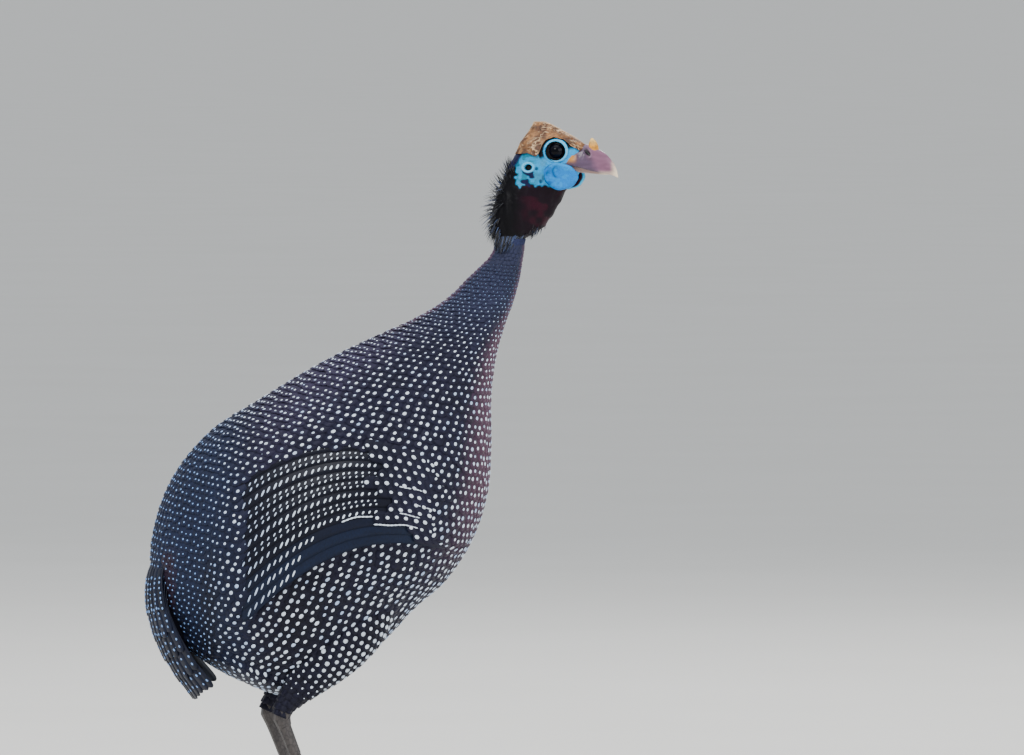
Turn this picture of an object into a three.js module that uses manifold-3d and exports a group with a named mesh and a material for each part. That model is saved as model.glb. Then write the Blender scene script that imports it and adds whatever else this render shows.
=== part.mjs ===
// A helmeted guinea fowl, standing still, life size.
// Millimetres, +Z up. The bird faces +X, its right side faces -Y and it stands on z = 0.
import * as THREE from "three";
import { mergeVertices } from "three/addons/utils/BufferGeometryUtils.js";
import Module from "manifold-3d";

const wasm = await Module();
wasm.setup();

// Gap between touching pieces.
const GAP = 0.3;
const SEED = 7;

// Neck and body, from the collar below the bare neck to the rump.
// Each row is one slice: x and z on the back, x and z on the breast or belly, half the width.
const BODY = [
  [116.9, 414.0, 137.2, 414.0, 9.4],
  [112.0, 401.8, 135.1, 400.4, 11],
  [98.0, 387.8, 132.3, 385.0, 15],
  [80.5, 371.0, 128.1, 369.6, 21],
  [56.7, 357.0, 121.1, 350.0, 30],
  [19.6, 340.2, 115.5, 327.6, 42],
  [-13.3, 323.4, 112.7, 301.0, 54],
  [-50.4, 301.0, 112.7, 266.0, 65],
  [-81.2, 281.4, 109.9, 234.5, 72],
  [-104.3, 256.2, 100.1, 204.4, 75],
  [-117.6, 231.0, 82.6, 176.4, 74],
  [-125.0, 203.0, 59.5, 155.4, 69],
  [-125.5, 180.6, 38.5, 133.0, 61],
  [-121.5, 161.0, 14.0, 110.6, 49],
  [-112.0, 141.0, -14.0, 98.0, 35],
];
const BODY_LAST = BODY.length - 1;
const BODY_EGG = 0.15;
const BODY_SIDES = 30;
const BODY_STEP = 0.5;
const NECK_SIDES = 20;
const NECK_STEP = 0.43;
// The neck ends and the trunk starts at this row.
const NECK_END = 3;
const NECK_GAP = 0.03;
// The rump is rounded off past the last row, this far, down and a little forward.
const RUMP = { length: 17, x: 0.2, z: -0.98, rings: 4 };

// Bare neck, throat bag and head: height, x at the nape, x at the throat or face, half the width.
const HEAD = [
  [414.3, 116.4, 137.2, 9.2],
  [419.0, 114.8, 145.0, 11],
  [423.0, 113.8, 150.3, 12],
  [431.0, 112.9, 156.5, 13.3],
  [440.0, 115.0, 161.5, 13.8],
  [448.0, 117.6, 166.0, 13.8],
  [456.0, 120.8, 172.5, 13.5],
  [464.0, 124.2, 177.4, 13.5],
  [470.0, 128.0, 179.3, 13.4],
  [476.0, 132.0, 179.8, 12.9],
  [481.0, 136.0, 176.4, 11.4],
  [486.0, 140.5, 168.0, 8],
  [488.6, 146.0, 160.0, 3.5],
];
const HEAD_EGG = 0.2;
const HEAD_SIDES = 20;
const HEAD_FROM = 5;
// The head is turned to the bird's right about the top of the neck, and the bare neck twists with it.
const HEAD_TURN = THREE.MathUtils.degToRad(-12);
const HEAD_AXIS = 140;

// Bony casque: height, x at its rear, x at its front, half the width.
const CASQUE = [
  [466.0, 127.4, 181.0, 15.4],
  [474.0, 130.6, 181.0, 14.6],
  [480.0, 134.0, 178.6, 12.9],
  [485.0, 136.9, 170.6, 10.2],
  [490.0, 139.7, 162.0, 6.4],
  [494.0, 141.9, 155.2, 3.3],
  [496.0, 142.7, 150.9, 1.7],
];
// Its lower edge in side view, with a lobe behind the eye and one in front of it.
const CASQUE_EDGE = [
  [120, 474], [133, 473.4], [141, 474.2], [147.4, 471.6], [150.4, 474.8], [151, 478.7], [153.9, 483.4],
  [158.8, 485], [166, 483.4], [171, 478.9], [176.9, 475.4], [179.6, 478], [190, 478], [190, 440], [120, 440],
];

// Bill: x and z of the ridge, x and z of the cutting edge, half the width.
const BILL_UPPER = [
  [166.0, 479.0, 166.0, 466.0, 10],
  [174.8, 478.6, 174.4, 465.2, 8.6],
  [180.9, 480.2, 180.9, 463.6, 7.2],
  [188.1, 477.2, 188.0, 462.0, 5.6],
  [194.1, 473.6, 193.2, 460.8, 4.2],
  [199.1, 467.9, 197.2, 459.8, 2.8],
  [201.7, 463.0, 200.6, 458.4, 1.5],
  [203.0, 457.6, 202.8, 456.9, 0.5],
];
const BILL_LOWER = [
  [166.0, 461.6, 166.0, 465.7, 8.4],
  [174.4, 460.6, 174.4, 464.9, 7.0],
  [180.9, 459.8, 180.9, 463.3, 5.7],
  [188.0, 459.2, 188.0, 461.7, 4.2],
  [193.2, 458.9, 193.2, 460.5, 2.7],
  [196.4, 459.0, 196.4, 459.6, 1.0],
];
const BILL_SIDES = 10;
const NOSTRIL = { x: 182.1, y: 6.2, z: 474.6, long: 3.0, tall: 1.2, deep: 2.2, tilt: -0.9 };
// Fleshy nodule on the ridge of the bill.
const KNOB = [
  [474.0, 179.6, 189.6, 3.6],
  [479.2, 181.6, 188.6, 3.2],
  [482.6, 182.6, 186.8, 2.2],
  [484.6, 183.6, 185.0, 0.8],
];
const EYE = { x: 160.7, y: 7.0, z: 475.6, radius: 6.3, lid: 6.3, rim: 1.5, rimY: 12.1 };
const EAR = { x: 141.4, y: 13.4, z: 464.1, cup: 2.4, rim: 3.1, rimThick: 0.8 };
const WATTLE = {
  x: 164.6, y: 14.2, z: 458.0, long: 12.2, tall: 9.4, thick: 2.4,
  lean: 0.24, pitch: 0.2, dish: 0.72, swell: 0.08,
};

// Black bristly locks down the nape, in rows between two heights.
const HACKLE = {
  rows: 6, perRow: 3, low: 419, high: 459, spread: 0.78,
  length: 12, width: 5.4, thick: 0.9, lift: 2.6, root: -1.6, levelHeight: 8.4,
};

// Folded wing. Each flight feather shows one band between the wrist and the tip.
// A band's height runs through its start, middle and end, and drops from one band to the next.
const WING = {
  fromX: 77, reach: 146, middle: 0.48,
  start: 257.6, startDrop: 5.25, mid: 274.4, midDrop: 7.0, end: 246.4, endDrop: 10.15,
  bands: 11, primaries: 2, from: 0.02, to: 0.97, primaryTo: 1.05,
  width: 17, grow: 9, thick: 1.1, liftUpper: 2.4, liftLower: 5.2, root: -0.5, seat: 0.12,
  core: 3.9, coreRoot: -2.5, coreEdge: -0.8, coreRows: 7, coreSteps: 7,
  coreFirst: -2.5, coreBeyond: 2, coreFrom: -0.1, coreReach: 1.02,
};
const WING_TIERS = [
  { count: 6, first: -1.2, step: 2.05, from: -0.03, to: 0.36, fall: -0.014, width: 17, lift: 1.5 },
  { count: 4, first: -1.4, step: 3.0, from: -0.1, to: 0.16, fall: -0.008, width: 21, lift: 2.8 },
];

// Short drooping tail: rear outline in side view, then its tiers of feathers from the lowest up.
const TAIL_LINE = [
  [-123.8, 186], [-126.2, 168], [-124.8, 150], [-119.0, 130], [-109.0, 110], [-95.5, 91],
];
const TAIL = {
  arch: 0.0105, thick: 1.1, step: 1.5, root: -9.5, coreTop: -2.5, coreFall: 5.5, core: 6, coreRoot: 12,
  coreHalf: 22, coreSpread: 12, coreTip: 112, coreDrop: 4,
};
const TAIL_TIERS = [
  { count: 8, rootZ: 168, tipZ: 91, rootHalf: 17, tipHalf: 38, width: 24, lift: 0, roundness: 9 },
  { count: 6, rootZ: 180, tipZ: 107, rootHalf: 20, tipHalf: 33, width: 25, lift: 1.6, roundness: 8 },
  { count: 5, rootZ: 188, tipZ: 131, rootHalf: 18, tipHalf: 28, width: 25, lift: 3.2, roundness: 7 },
];

// Legs: x, z, half depth, half width of each slice, for the feathered thigh and the scaled shank.
const LEG_Y = 33;
const STRIDE = 5;
const THIGH = [
  [22, 168, 22, 15],
  [10, 145, 24, 17],
  [-6, 124, 20, 15],
  [-20, 108, 14, 11],
  [-30, 96, 9, 7.6],
  [-36.4, 88, 6.6, 6],
  [-39.4, 81, 5.6, 5.2],
];
const SHANK = [
  [-35.6, 91, 6.2, 5.6],
  [-38.6, 81, 6.0, 5.4],
  [-35.4, 71, 4.5, 4.0],
  [-29.0, 54, 4.1, 3.6],
  [-21.5, 36, 4.2, 3.7],
  [-14.0, 19, 4.9, 4.4],
  [-9.6, 8.5, 5.6, 5.4],
];
const HOCK = 86.5;
const SHANK_SCUTES = 10;
const SCUTE_RISE = 0.09;
const SCUTE_SHARE = 0.93;
const FOOT = { x: -8, height: 4.4, pad: 7.4, wide: 0.9, rise: 1.2 };
// Direction from straight ahead, length of the toe, length of the root that is one piece with the foot.
const TOES = [
  { name: "middle", angle: -2, length: 48, root: 17.5, radius: 4.1, tip: 2.9, scutes: 6, claw: 10 },
  { name: "inner", angle: 34, length: 38, root: 17.5, radius: 3.9, tip: 2.8, scutes: 4, claw: 9 },
  { name: "outer", angle: -37, length: 38, root: 17.5, radius: 3.9, tip: 2.8, scutes: 4, claw: 9 },
  { name: "hind", angle: 171, length: 19, root: 9.5, radius: 3.0, tip: 2.4, scutes: 2, claw: 7 },
];
const TOE_SIDES = 8;
const CLAW_SIDES = 6;

const COLOURS = {
  plumage: 0x2c3046, neck: 0x3a3f5c, bare: 0x170f1c, skin: 0x58c4ea, casque: 0xb48a5c, bill: 0xa98aa6,
  lower: 0x8c7a70, knob: 0xd9a04a, eye: 0x08080c, wattle: 0x2aa3e0, wing: 0x181b28, tail: 0x262a3c,
  scale: 0x4a4440, claw: 0x2a2624,
};

const finish = (color, roughness) => new THREE.MeshStandardMaterial({ color, roughness, metalness: 0 });

// A repeatable draw between 0 and 1.
function makeDraw(seed) {
  let state = seed;
  return () => {
    state = (state * 1664525 + 1013904223) % 4294967296;
    return state / 4294967296;
  };
}

// A smooth curve through rows of numbers; v counts the rows.
function along(rows, v) {
  const last = rows.length - 1;
  const i = Math.min(Math.max(Math.floor(v), 0), last - 1);
  const t = v - i;
  const [a, b, c, d] = [i - 1, i, i + 1, i + 2].map((k) => rows[Math.min(Math.max(k, 0), last)]);
  return b.map((p, k) => {
    const into = i === 0 ? c[k] - p : (c[k] - a[k]) / 2;
    const out = i === last - 1 ? c[k] - p : (d[k] - p) / 2;
    const t2 = t * t;
    const t3 = t2 * t;
    return p * (2 * t3 - 3 * t2 + 1) + into * (t3 - 2 * t2 + t) + c[k] * (3 * t2 - 2 * t3) + out * (t3 - t2);
  });
}

// One slice of the body: its middle, the half line from there to the back, and half its width.
function bodySlice(v) {
  const past = Math.max(0, v - BODY_LAST) * (Math.PI / 2);
  const [bx, bz, fx, fz, w] = along(BODY, Math.min(v, BODY_LAST));
  const shrink = Math.cos(past);
  const reach = RUMP.length * Math.sin(past);
  return {
    x: (bx + fx) / 2 + reach * RUMP.x,
    z: (bz + fz) / 2 + reach * RUMP.z,
    dx: ((bx - fx) / 2) * shrink,
    dz: ((bz - fz) / 2) * shrink,
    w: w * shrink,
  };
}

function bodyPoint(v, angle) {
  const s = bodySlice(v);
  const c = Math.cos(angle);
  return new THREE.Vector3(s.x + c * s.dx, Math.sin(angle) * s.w * (1 - BODY_EGG * c), s.z + c * s.dz);
}

// The head and bare neck in slices at one height each; angle 0 is the face.
function headPoint(v, angle) {
  const [z, rear, front, w] = along(HEAD, v);
  const c = Math.cos(angle);
  return new THREE.Vector3(
    (rear + front) / 2 + ((front - rear) / 2) * c,
    Math.sin(angle) * w * (1 - HEAD_EGG * c),
    z,
  );
}

// The same, twisted about the neck: not at all at the collar, fully where the head starts.
function neckPoint(v, angle) {
  const p = headPoint(v, angle);
  const turn = HEAD_TURN * Math.min(1, v / HEAD_FROM);
  const axis = new THREE.Vector3(HEAD_AXIS, 0, 0);
  return p.sub(axis).applyAxisAngle(new THREE.Vector3(0, 0, 1), turn).add(axis);
}

// The outward direction of a surface given by two numbers.
function outward(point, v, angle) {
  const step = 0.02;
  const up = point(v + step, angle).sub(point(v - step, angle));
  const round = point(v, angle + step).sub(point(v, angle - step));
  const n = up.cross(round).normalize();
  const middle = point(v, angle).add(point(v, angle + Math.PI)).multiplyScalar(0.5);
  return n.dot(point(v, angle).sub(middle)) < 0 ? n.negate() : n;
}

const lifted = (point, v, angle, lift) =>
  point(v, angle).addScaledVector(outward(point, v, angle), lift);

// The body's surface at a place seen from the side, raised by lift.
function flank(x, z, side, lift) {
  const miss = (v) => {
    const s = bodySlice(v);
    return (x - s.x) * s.dz - (z - s.z) * s.dx;
  };
  let low = NECK_END;
  let high = BODY_LAST;
  const sign = Math.sign(miss(low));
  for (let k = 0; k < 40; k += 1) {
    const middle = (low + high) / 2;
    if (Math.sign(miss(middle)) === sign) low = middle;
    else high = middle;
  }
  const s = bodySlice(low);
  const c = ((x - s.x) * s.dx + (z - s.z) * s.dz) / (s.dx ** 2 + s.dz ** 2);
  const angle = side * Math.acos(Math.min(Math.max(c, -0.985), 0.985));
  return lifted(bodyPoint, low, angle, lift);
}

function geometryOf(points, faces) {
  const g = new THREE.BufferGeometry();
  g.setAttribute("position", new THREE.Float32BufferAttribute(points.flatMap((p) => [p.x, p.y, p.z]), 3));
  g.setIndex(faces.flat());
  return g;
}

// A closed geometry as a solid, turned to face out.
function solidOf(geometry) {
  const g = geometry.clone();
  g.deleteAttribute("normal");
  g.deleteAttribute("uv");
  const merged = mergeVertices(g, 1e-4);
  const p = merged.attributes.position.array;
  const faces = Uint32Array.from(merged.index.array);
  let volume = 0;
  for (let i = 0; i < faces.length; i += 3) {
    const [a, b, c] = [0, 1, 2].map((k) => new THREE.Vector3().fromArray(p, 3 * faces[i + k]));
    volume += a.dot(b.cross(c));
  }
  if (volume < 0) {
    for (let i = 0; i < faces.length; i += 3) [faces[i + 1], faces[i + 2]] = [faces[i + 2], faces[i + 1]];
  }
  return new wasm.Manifold(new wasm.Mesh({ numProp: 3, vertProperties: p, triVerts: faces }));
}

// A closed body over rings that hold the same number of points; each end is fanned from its middle.
function overRings(rings) {
  const n = rings[0].length;
  const points = rings.flat();
  const faces = [];
  for (let j = 0; j < rings.length - 1; j += 1) {
    for (let i = 0; i < n; i += 1) {
      const a = j * n + i;
      const b = j * n + ((i + 1) % n);
      faces.push([a, b, b + n], [a, b + n, a + n]);
    }
  }
  for (const [start, flip] of [[0, true], [(rings.length - 1) * n, false]]) {
    const hub = points.length;
    const ring = points.slice(start, start + n);
    points.push(ring.reduce((sum, p) => sum.add(p), new THREE.Vector3()).divideScalar(n));
    for (let i = 0; i < n; i += 1) {
      const a = start + i;
      const b = start + ((i + 1) % n);
      faces.push(flip ? [b, a, hub] : [a, b, hub]);
    }
  }
  return solidOf(geometryOf(points, faces));
}

// A thin leaf between two grids of points, both split into triangles alike.
function leaf(top, bottom) {
  const rows = top.length;
  const columns = top[0].length;
  const at = (j, i) => j * columns + i;
  const under = rows * columns;
  const faces = [];
  for (let j = 0; j < rows - 1; j += 1) {
    for (let i = 0; i < columns - 1; i += 1) {
      const [a, b, c, d] = [at(j, i), at(j, i + 1), at(j + 1, i + 1), at(j + 1, i)];
      faces.push([a, b, c], [a, c, d], [under + a, under + c, under + b], [under + a, under + d, under + c]);
    }
  }
  const border = [];
  for (let i = 0; i < columns - 1; i += 1) border.push([at(0, i), at(0, i + 1)]);
  for (let j = 0; j < rows - 1; j += 1) border.push([at(j, columns - 1), at(j + 1, columns - 1)]);
  for (let i = columns - 1; i > 0; i -= 1) border.push([at(rows - 1, i), at(rows - 1, i - 1)]);
  for (let j = rows - 1; j > 0; j -= 1) border.push([at(j, 0), at(j - 1, 0)]);
  for (const [a, b] of border) faces.push([b, a, under + a], [b, under + a, under + b]);
  return solidOf(geometryOf([...top.flat(), ...bottom.flat()], faces));
}

const ringOf = (point, v, sides, lift = 0) =>
  Array.from({ length: sides }, (_, i) => {
    const angle = (i / sides) * 2 * Math.PI;
    return lift ? lifted(point, v, angle, lift) : point(v, angle);
  });

const steps = (from, to, size) => {
  const count = Math.max(1, Math.round((to - from) / size));
  return Array.from({ length: count + 1 }, (_, k) => from + ((to - from) * k) / count);
};

const loft = (point, values, sides, lift = 0) => overRings(values.map((v) => ringOf(point, v, sides, lift)));

const joined = (solids) => solids.reduce((all, one) => all.add(one));

function largest(solid) {
  return solid.decompose().reduce((best, one) => (one.volume() > best.volume() ? one : best));
}

function ball(x, y, z, rx, ry, rz, tilt = 0, turn = 0, detail = 12) {
  const g = new THREE.SphereGeometry(1, detail * 2, detail);
  g.scale(rx, ry, rz).rotateY(tilt).rotateZ(turn).translate(x, y, z);
  return solidOf(g);
}

function ring(x, y, z, radius, thick, round) {
  const g = new THREE.TorusGeometry(radius, thick, 5, round);
  g.rotateX(Math.PI / 2).translate(x, y, z);
  return solidOf(g);
}

// A flat outline in the side view, carried across the bird.
function slab(outline, half) {
  const shape = new THREE.Shape(outline.map(([x, z]) => new THREE.Vector2(x, z)));
  const g = new THREE.ExtrudeGeometry(shape, { depth: 2 * half, bevelEnabled: false });
  g.rotateX(Math.PI / 2).translate(0, half, 0);
  return solidOf(g);
}

// Everything near the bird between two heights.
const layer = (low, high) => slab([[-200, low], [200, low], [200, high], [-200, high]], 200);

function mirrored(solid) {
  const { vertProperties, triVerts, numProp } = solid.getMesh();
  const points = Float32Array.from(vertProperties, (value, i) => (i % numProp === 1 ? -value : value));
  const faces = Uint32Array.from(triVerts);
  for (let i = 0; i < faces.length; i += 3) [faces[i + 1], faces[i + 2]] = [faces[i + 2], faces[i + 1]];
  return new wasm.Manifold(new wasm.Mesh({ numProp, vertProperties: points, triVerts: faces }));
}

function meshOf(name, solid, material) {
  const { vertProperties, triVerts } = largest(solid).getMesh();
  const g = new THREE.BufferGeometry();
  g.setAttribute("position", new THREE.BufferAttribute(Float32Array.from(vertProperties), 3));
  g.setIndex(new THREE.BufferAttribute(Uint32Array.from(triVerts), 1));
  g.computeVertexNormals();
  const mesh = new THREE.Mesh(g, material);
  mesh.name = name;
  return mesh;
}

// Trunk and feathered neck.
const trunkRows = [
  ...steps(NECK_END, BODY_LAST, BODY_STEP),
  ...Array.from({ length: RUMP.rings }, (_, k) => BODY_LAST + (k + 1) / (RUMP.rings + 0.4)),
];
const trunk = loft(bodyPoint, trunkRows, BODY_SIDES);
const trunkSpace = loft(bodyPoint, [NECK_END - 0.1, ...trunkRows], BODY_SIDES, GAP);
const neckRows = steps(0, NECK_END - NECK_GAP, NECK_STEP);
const neck = loft(bodyPoint, neckRows, NECK_SIDES);

// Bare neck with its throat bag and the locks down its nape.
function hackleLock(v, angle, draw) {
  const length = HACKLE.length * (0.8 + 0.4 * draw());
  const lean = 0.3 * (draw() - 0.5);
  const fall = [0, 0.5, 1];
  const half = [0.7, 1, 0.15];
  const lift = [0.2, 0.5, 1];
  const rows = fall.map((t, j) => {
    const at = Math.max(0.05, v - (t * length) / HACKLE.levelHeight);
    const turn = angle + lean * t;
    const rise = lift[j] * HACKLE.lift * (0.7 + 0.6 * draw());
    const width = (half[j] * HACKLE.width) / 2;
    const middle = neckPoint(at, turn);
    const n = outward(neckPoint, at, turn);
    const across = new THREE.Vector3(0, 0, 1).cross(n).normalize();
    return [-1, 1].map((s) => middle.clone().addScaledVector(n, rise).addScaledVector(across, s * width));
  });
  const under = rows.map((row, j) =>
    row.map((p) => {
      const at = Math.max(0.05, v - (fall[j] * length) / HACKLE.levelHeight);
      return p.clone().addScaledVector(outward(neckPoint, at, angle), j === 0 ? HACKLE.root : -HACKLE.thick);
    }),
  );
  return leaf(rows, under);
}

function bareNeck() {
  const draw = makeDraw(SEED);
  const core = loft(neckPoint, steps(0, HEAD_FROM - 0.04, 0.6), HEAD_SIDES);
  const locks = [];
  for (let j = 0; j < HACKLE.rows; j += 1) {
    const height = HACKLE.low + 3 + ((HACKLE.high - HACKLE.low) * j) / (HACKLE.rows - 1);
    const v = Math.min(HEAD_FROM - 0.1, HEAD.findIndex((row) => row[0] > height) - 0.5);
    for (let i = 0; i < HACKLE.perRow; i += 1) {
      const place = ((i + (j % 2) / 2) / (HACKLE.perRow - 0.5)) * 2 - 1;
      locks.push(hackleLock(v, Math.PI + place * HACKLE.spread, draw));
    }
  }
  const neckSpace = loft(bodyPoint, steps(-0.02, NECK_END, NECK_STEP), NECK_SIDES, GAP);
  return joined([core, ...locks]).subtract(neckSpace);
}

// Head with ear cups, lids and eye sockets.
const headRows = steps(HEAD_FROM, HEAD.length - 1, 0.7);
const headSpace = loft(headPoint, [HEAD_FROM - 0.2, ...headRows], HEAD_SIDES, GAP);

function head() {
  let solid = loft(headPoint, headRows, HEAD_SIDES);
  for (const side of [-1, 1]) {
    solid = solid
      .add(ring(EYE.x, side * EYE.rimY, EYE.z, EYE.lid, EYE.rim, 14))
      .add(ring(EAR.x, side * EAR.y, EAR.z, EAR.rim, EAR.rimThick, 8))
      .subtract(ball(EAR.x, side * EAR.y, EAR.z, EAR.cup, EAR.cup, EAR.cup, 0, 0, 4));
  }
  const socket = EYE.radius + GAP;
  for (const side of [-1, 1]) {
    solid = solid.subtract(ball(EYE.x, side * EYE.y, EYE.z, socket, socket, socket, 0, 0, 6));
  }
  return solid;
}

// A body of level slices with its rear, front and half width.
function levels(rows, sides, values) {
  const point = (v, angle) => {
    const [z, rear, front, w] = along(rows, v);
    const c = Math.cos(angle);
    return new THREE.Vector3((rear + front) / 2 + ((front - rear) / 2) * c, Math.sin(angle) * w, z);
  };
  return loft(point, values, sides);
}

function casque(billSpace) {
  const dome = levels(CASQUE, 16, steps(0, CASQUE.length - 1, 0.5));
  return dome.subtract(headSpace).subtract(billSpace).subtract(slab(CASQUE_EDGE, 30));
}

// A half of the bill: arched on one side, flat along the cutting edge.
function bill(rows, values) {
  const rings = values.map((v) => {
    const [rx, rz, ex, ez, w] = along(rows, v);
    return Array.from({ length: BILL_SIDES }, (_, i) => {
      const angle = (i / (BILL_SIDES - 1)) * Math.PI;
      const up = Math.sin(angle) ** 0.85;
      return new THREE.Vector3(ex + (rx - ex) * up, w * Math.cos(angle), ez + (rz - ez) * up);
    });
  });
  return overRings(rings).subtract(headSpace);
}

function billUpper() {
  let solid = bill(BILL_UPPER, steps(0, BILL_UPPER.length - 1, 0.7));
  for (const side of [-1, 1]) {
    const { x, y, z, long, deep, tall, tilt } = NOSTRIL;
    solid = solid.subtract(ball(x, side * y, z, long, deep, tall, tilt, 0, 4));
  }
  return solid;
}

// A wattle is a round fold of skin that hangs from the corner of the mouth, thicker along its rim.
function wattle(side) {
  const { x, y, z, long, tall, thick, lean, pitch, dish, swell } = WATTLE;
  const outer = [[0, dish], [0.5, dish + swell], [0.86, 1], [1, 0.4]];
  const inner = outer.map(([r, h]) => [r, -h]).reverse();
  const profile = [...outer, ...inner];
  const g = new THREE.LatheGeometry(profile.map(([r, h]) => new THREE.Vector2(r, h)), 16);
  g.scale(long, thick, tall).rotateY(pitch).rotateZ(side * -lean).translate(x, side * y, z);
  return solidOf(g).subtract(headSpace).subtract(layer(400, HEAD[HEAD_FROM][0]));
}

// Folded wing. The place of a band in side view: i counts bands down, t runs from the wrist to the tip.
function bandPlace(i, t) {
  const { start, startDrop, mid, midDrop, end, endDrop, middle, fromX, reach } = WING;
  const z0 = start - startDrop * i;
  const z1 = mid - midDrop * i;
  const z2 = end - endDrop * i;
  const lead = (t - middle) * (t - 1) / middle;
  const body = (t * (t - 1)) / (middle * (middle - 1));
  const trail = (t * (t - middle)) / (1 - middle);
  return { x: fromX - reach * t, z: z0 * lead + z1 * body + z2 * trail };
}

// A feather of the wing lies on the flank: its lower edge shows, its upper edge goes under the one above.
function wingFeather(i, from, to, width, grow, extra) {
  const shape = grow > 0 ? [[0, 0.8], [0.45, 1], [0.84, 0.9], [1, 0.4]] : [[0, 0.9], [0.62, 1], [1, 0.5]];
  const grids = [false, true].map((under) =>
    shape.map(([share, full], j) => {
      const t = from + (to - from) * share;
      const here = bandPlace(i, t);
      const ahead = bandPlace(i, t + 0.01);
      const gap = here.z - bandPlace(i + 1, t).z;
      const run = Math.hypot(ahead.x - here.x, ahead.z - here.z);
      const up = { x: -(ahead.z - here.z) / run, z: (ahead.x - here.x) / run };
      const flip = up.z < 0 ? -1 : 1;
      const wide = (width + grow * t) * full;
      const middle = -gap / 2 + (width + grow * t) / 2;
      return [-0.5, 0.5].map((u) => {
        const off = (middle + u * wide) * flip;
        const seat = grow > 0 || j > 0 ? 1 : WING.seat;
        const lift = seat * (WING.liftLower + (WING.liftUpper - WING.liftLower) * (u + 0.5) + extra);
        const free = j === shape.length - 1 || (to > 0.9 && j === shape.length - 2);
        const height = under ? (free ? lift - WING.thick : WING.root) : lift;
        return flank(here.x + up.x * off, here.z + up.z * off, -1, height);
      });
    }),
  );
  return leaf(...grids);
}

function wingCore() {
  const edge = (s) => Math.sqrt(Math.max(0, 1 - (2 * s - 1) ** 4));
  const { core, coreRoot, coreEdge, coreFirst, coreBeyond, coreFrom, coreReach } = WING;
  const grids = [core, coreRoot].map((height) =>
    steps(0, 1, 1 / WING.coreSteps).map((s) =>
      steps(0, 1, 1 / WING.coreRows).map((r) => {
        const place = bandPlace(coreFirst + (WING.bands + coreBeyond) * r, coreFrom + coreReach * s);
        const lift = height < 0 ? height : coreEdge + (height - coreEdge) * edge(s) * edge(r);
        return flank(place.x, place.z, -1, lift);
      }),
    ),
  );
  return leaf(...grids);
}

function wing() {
  const feathers = [];
  for (let i = 0; i < WING.bands; i += 1) {
    const primary = i >= WING.bands - WING.primaries;
    feathers.push(wingFeather(i, WING.from, primary ? WING.primaryTo : WING.to, WING.width, WING.grow, 0));
  }
  for (const tier of WING_TIERS) {
    for (let k = 0; k < tier.count; k += 1) {
      const i = tier.first + k * tier.step;
      feathers.push(wingFeather(i, tier.from, tier.to + tier.fall * k, tier.width, 0, tier.lift));
    }
  }
  return joined([wingCore(), ...feathers]).subtract(trunkSpace);
}

// Tail. Its rear surface, at height z and sideways place y, arched like a roof.
function tailPlace(y, z, lift) {
  const step = 0.02;
  let v = 0;
  while (v < TAIL_LINE.length - 1.02 && along(TAIL_LINE, v)[1] > z) v += step;
  const [x] = along(TAIL_LINE, v);
  const [x0, z0] = along(TAIL_LINE, Math.max(0, v - 0.1));
  const [x1, z1] = along(TAIL_LINE, v + step);
  const n = new THREE.Vector3(z1 - z0, 0, x0 - x1).normalize();
  n.y = 2 * TAIL.arch * y;
  n.normalize();
  return new THREE.Vector3(x + TAIL.arch * y * y, y, z).addScaledVector(n, lift);
}

// The middle feather lies on top and each one further out is a step lower.
function tailFeather(tier, k) {
  const place = (k / (tier.count - 1)) * 2 - 1;
  const lift = tier.lift - TAIL.step * Math.abs(k - tier.count / 2);
  const tip = tier.tipZ + tier.roundness * place * place;
  const shape = [[0, 0.6], [0.5, 1], [0.86, 0.9], [1, 0.4]];
  const grids = [false, true].map((below) =>
    shape.map(([t, full]) => {
      const y = place * (tier.rootHalf + (tier.tipHalf - tier.rootHalf) * t);
      const z = tier.rootZ + (tip - tier.rootZ) * t;
      const height = below ? (t < 0.6 ? TAIL.root : lift - TAIL.thick) : lift;
      return [-1, 1].map((u) => tailPlace(y + (u * tier.width * full) / 2, z, height));
    }),
  );
  return leaf(...grids);
}

function tail() {
  const { coreHalf, coreSpread, coreTip, coreDrop } = TAIL;
  const tall = TAIL_LINE[0][1] - coreDrop;
  const grids = [false, true].map((below) =>
    steps(0, 1, 0.25).map((s) =>
      steps(-1, 1, 0.4).map((u) => {
        const top = TAIL.coreTop - TAIL.coreFall * Math.abs(u);
        const deep = 1 + (TAIL.core + TAIL.coreRoot * (1 - s)) * Math.sqrt(Math.max(0, 1 - u ** 4));
        const half = coreHalf + coreSpread * s;
        return tailPlace(u * half, tall - (tall - coreTip) * s, below ? top - deep : top);
      }),
    ),
  );
  const feathers = TAIL_TIERS.flatMap((tier) =>
    Array.from({ length: tier.count }, (_, k) => tailFeather(tier, k)),
  );
  return joined([leaf(...grids), ...feathers]).subtract(trunkSpace);
}

// A limb along a line in one upright plane: x, z, half depth, half width of each slice.
function limb(rows, values, y, shift, sides, ridge = () => 1) {
  const rings = values.map((v) => {
    const [x, z, deep, wide] = along(rows, Math.min(Math.max(v, 0), rows.length - 1));
    const [x1, z1] = along(rows, Math.min(v + 0.05, rows.length - 1));
    const [x0, z0] = along(rows, Math.max(v - 0.05, 0));
    const run = Math.hypot(x1 - x0, z1 - z0);
    const front = { x: (z0 - z1) / run, z: (x1 - x0) / run };
    return Array.from({ length: sides }, (_, i) => {
      const angle = (i / sides) * 2 * Math.PI;
      const r = Math.cos(angle) > -0.1 ? ridge(v) : 1;
      const c = Math.cos(angle) * deep * r;
      return new THREE.Vector3(
        x + shift + front.x * c,
        y + Math.sin(angle) * wide * r,
        Math.max(0, z + front.z * c),
      );
    });
  });
  return overRings(rings);
}

function thigh(side) {
  const drumstick = limb(THIGH, steps(0, THIGH.length - 1, 0.5), side * LEG_Y, -side * STRIDE, 16);
  return drumstick.subtract(trunkSpace).subtract(layer(-10, HOCK + GAP));
}

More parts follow.
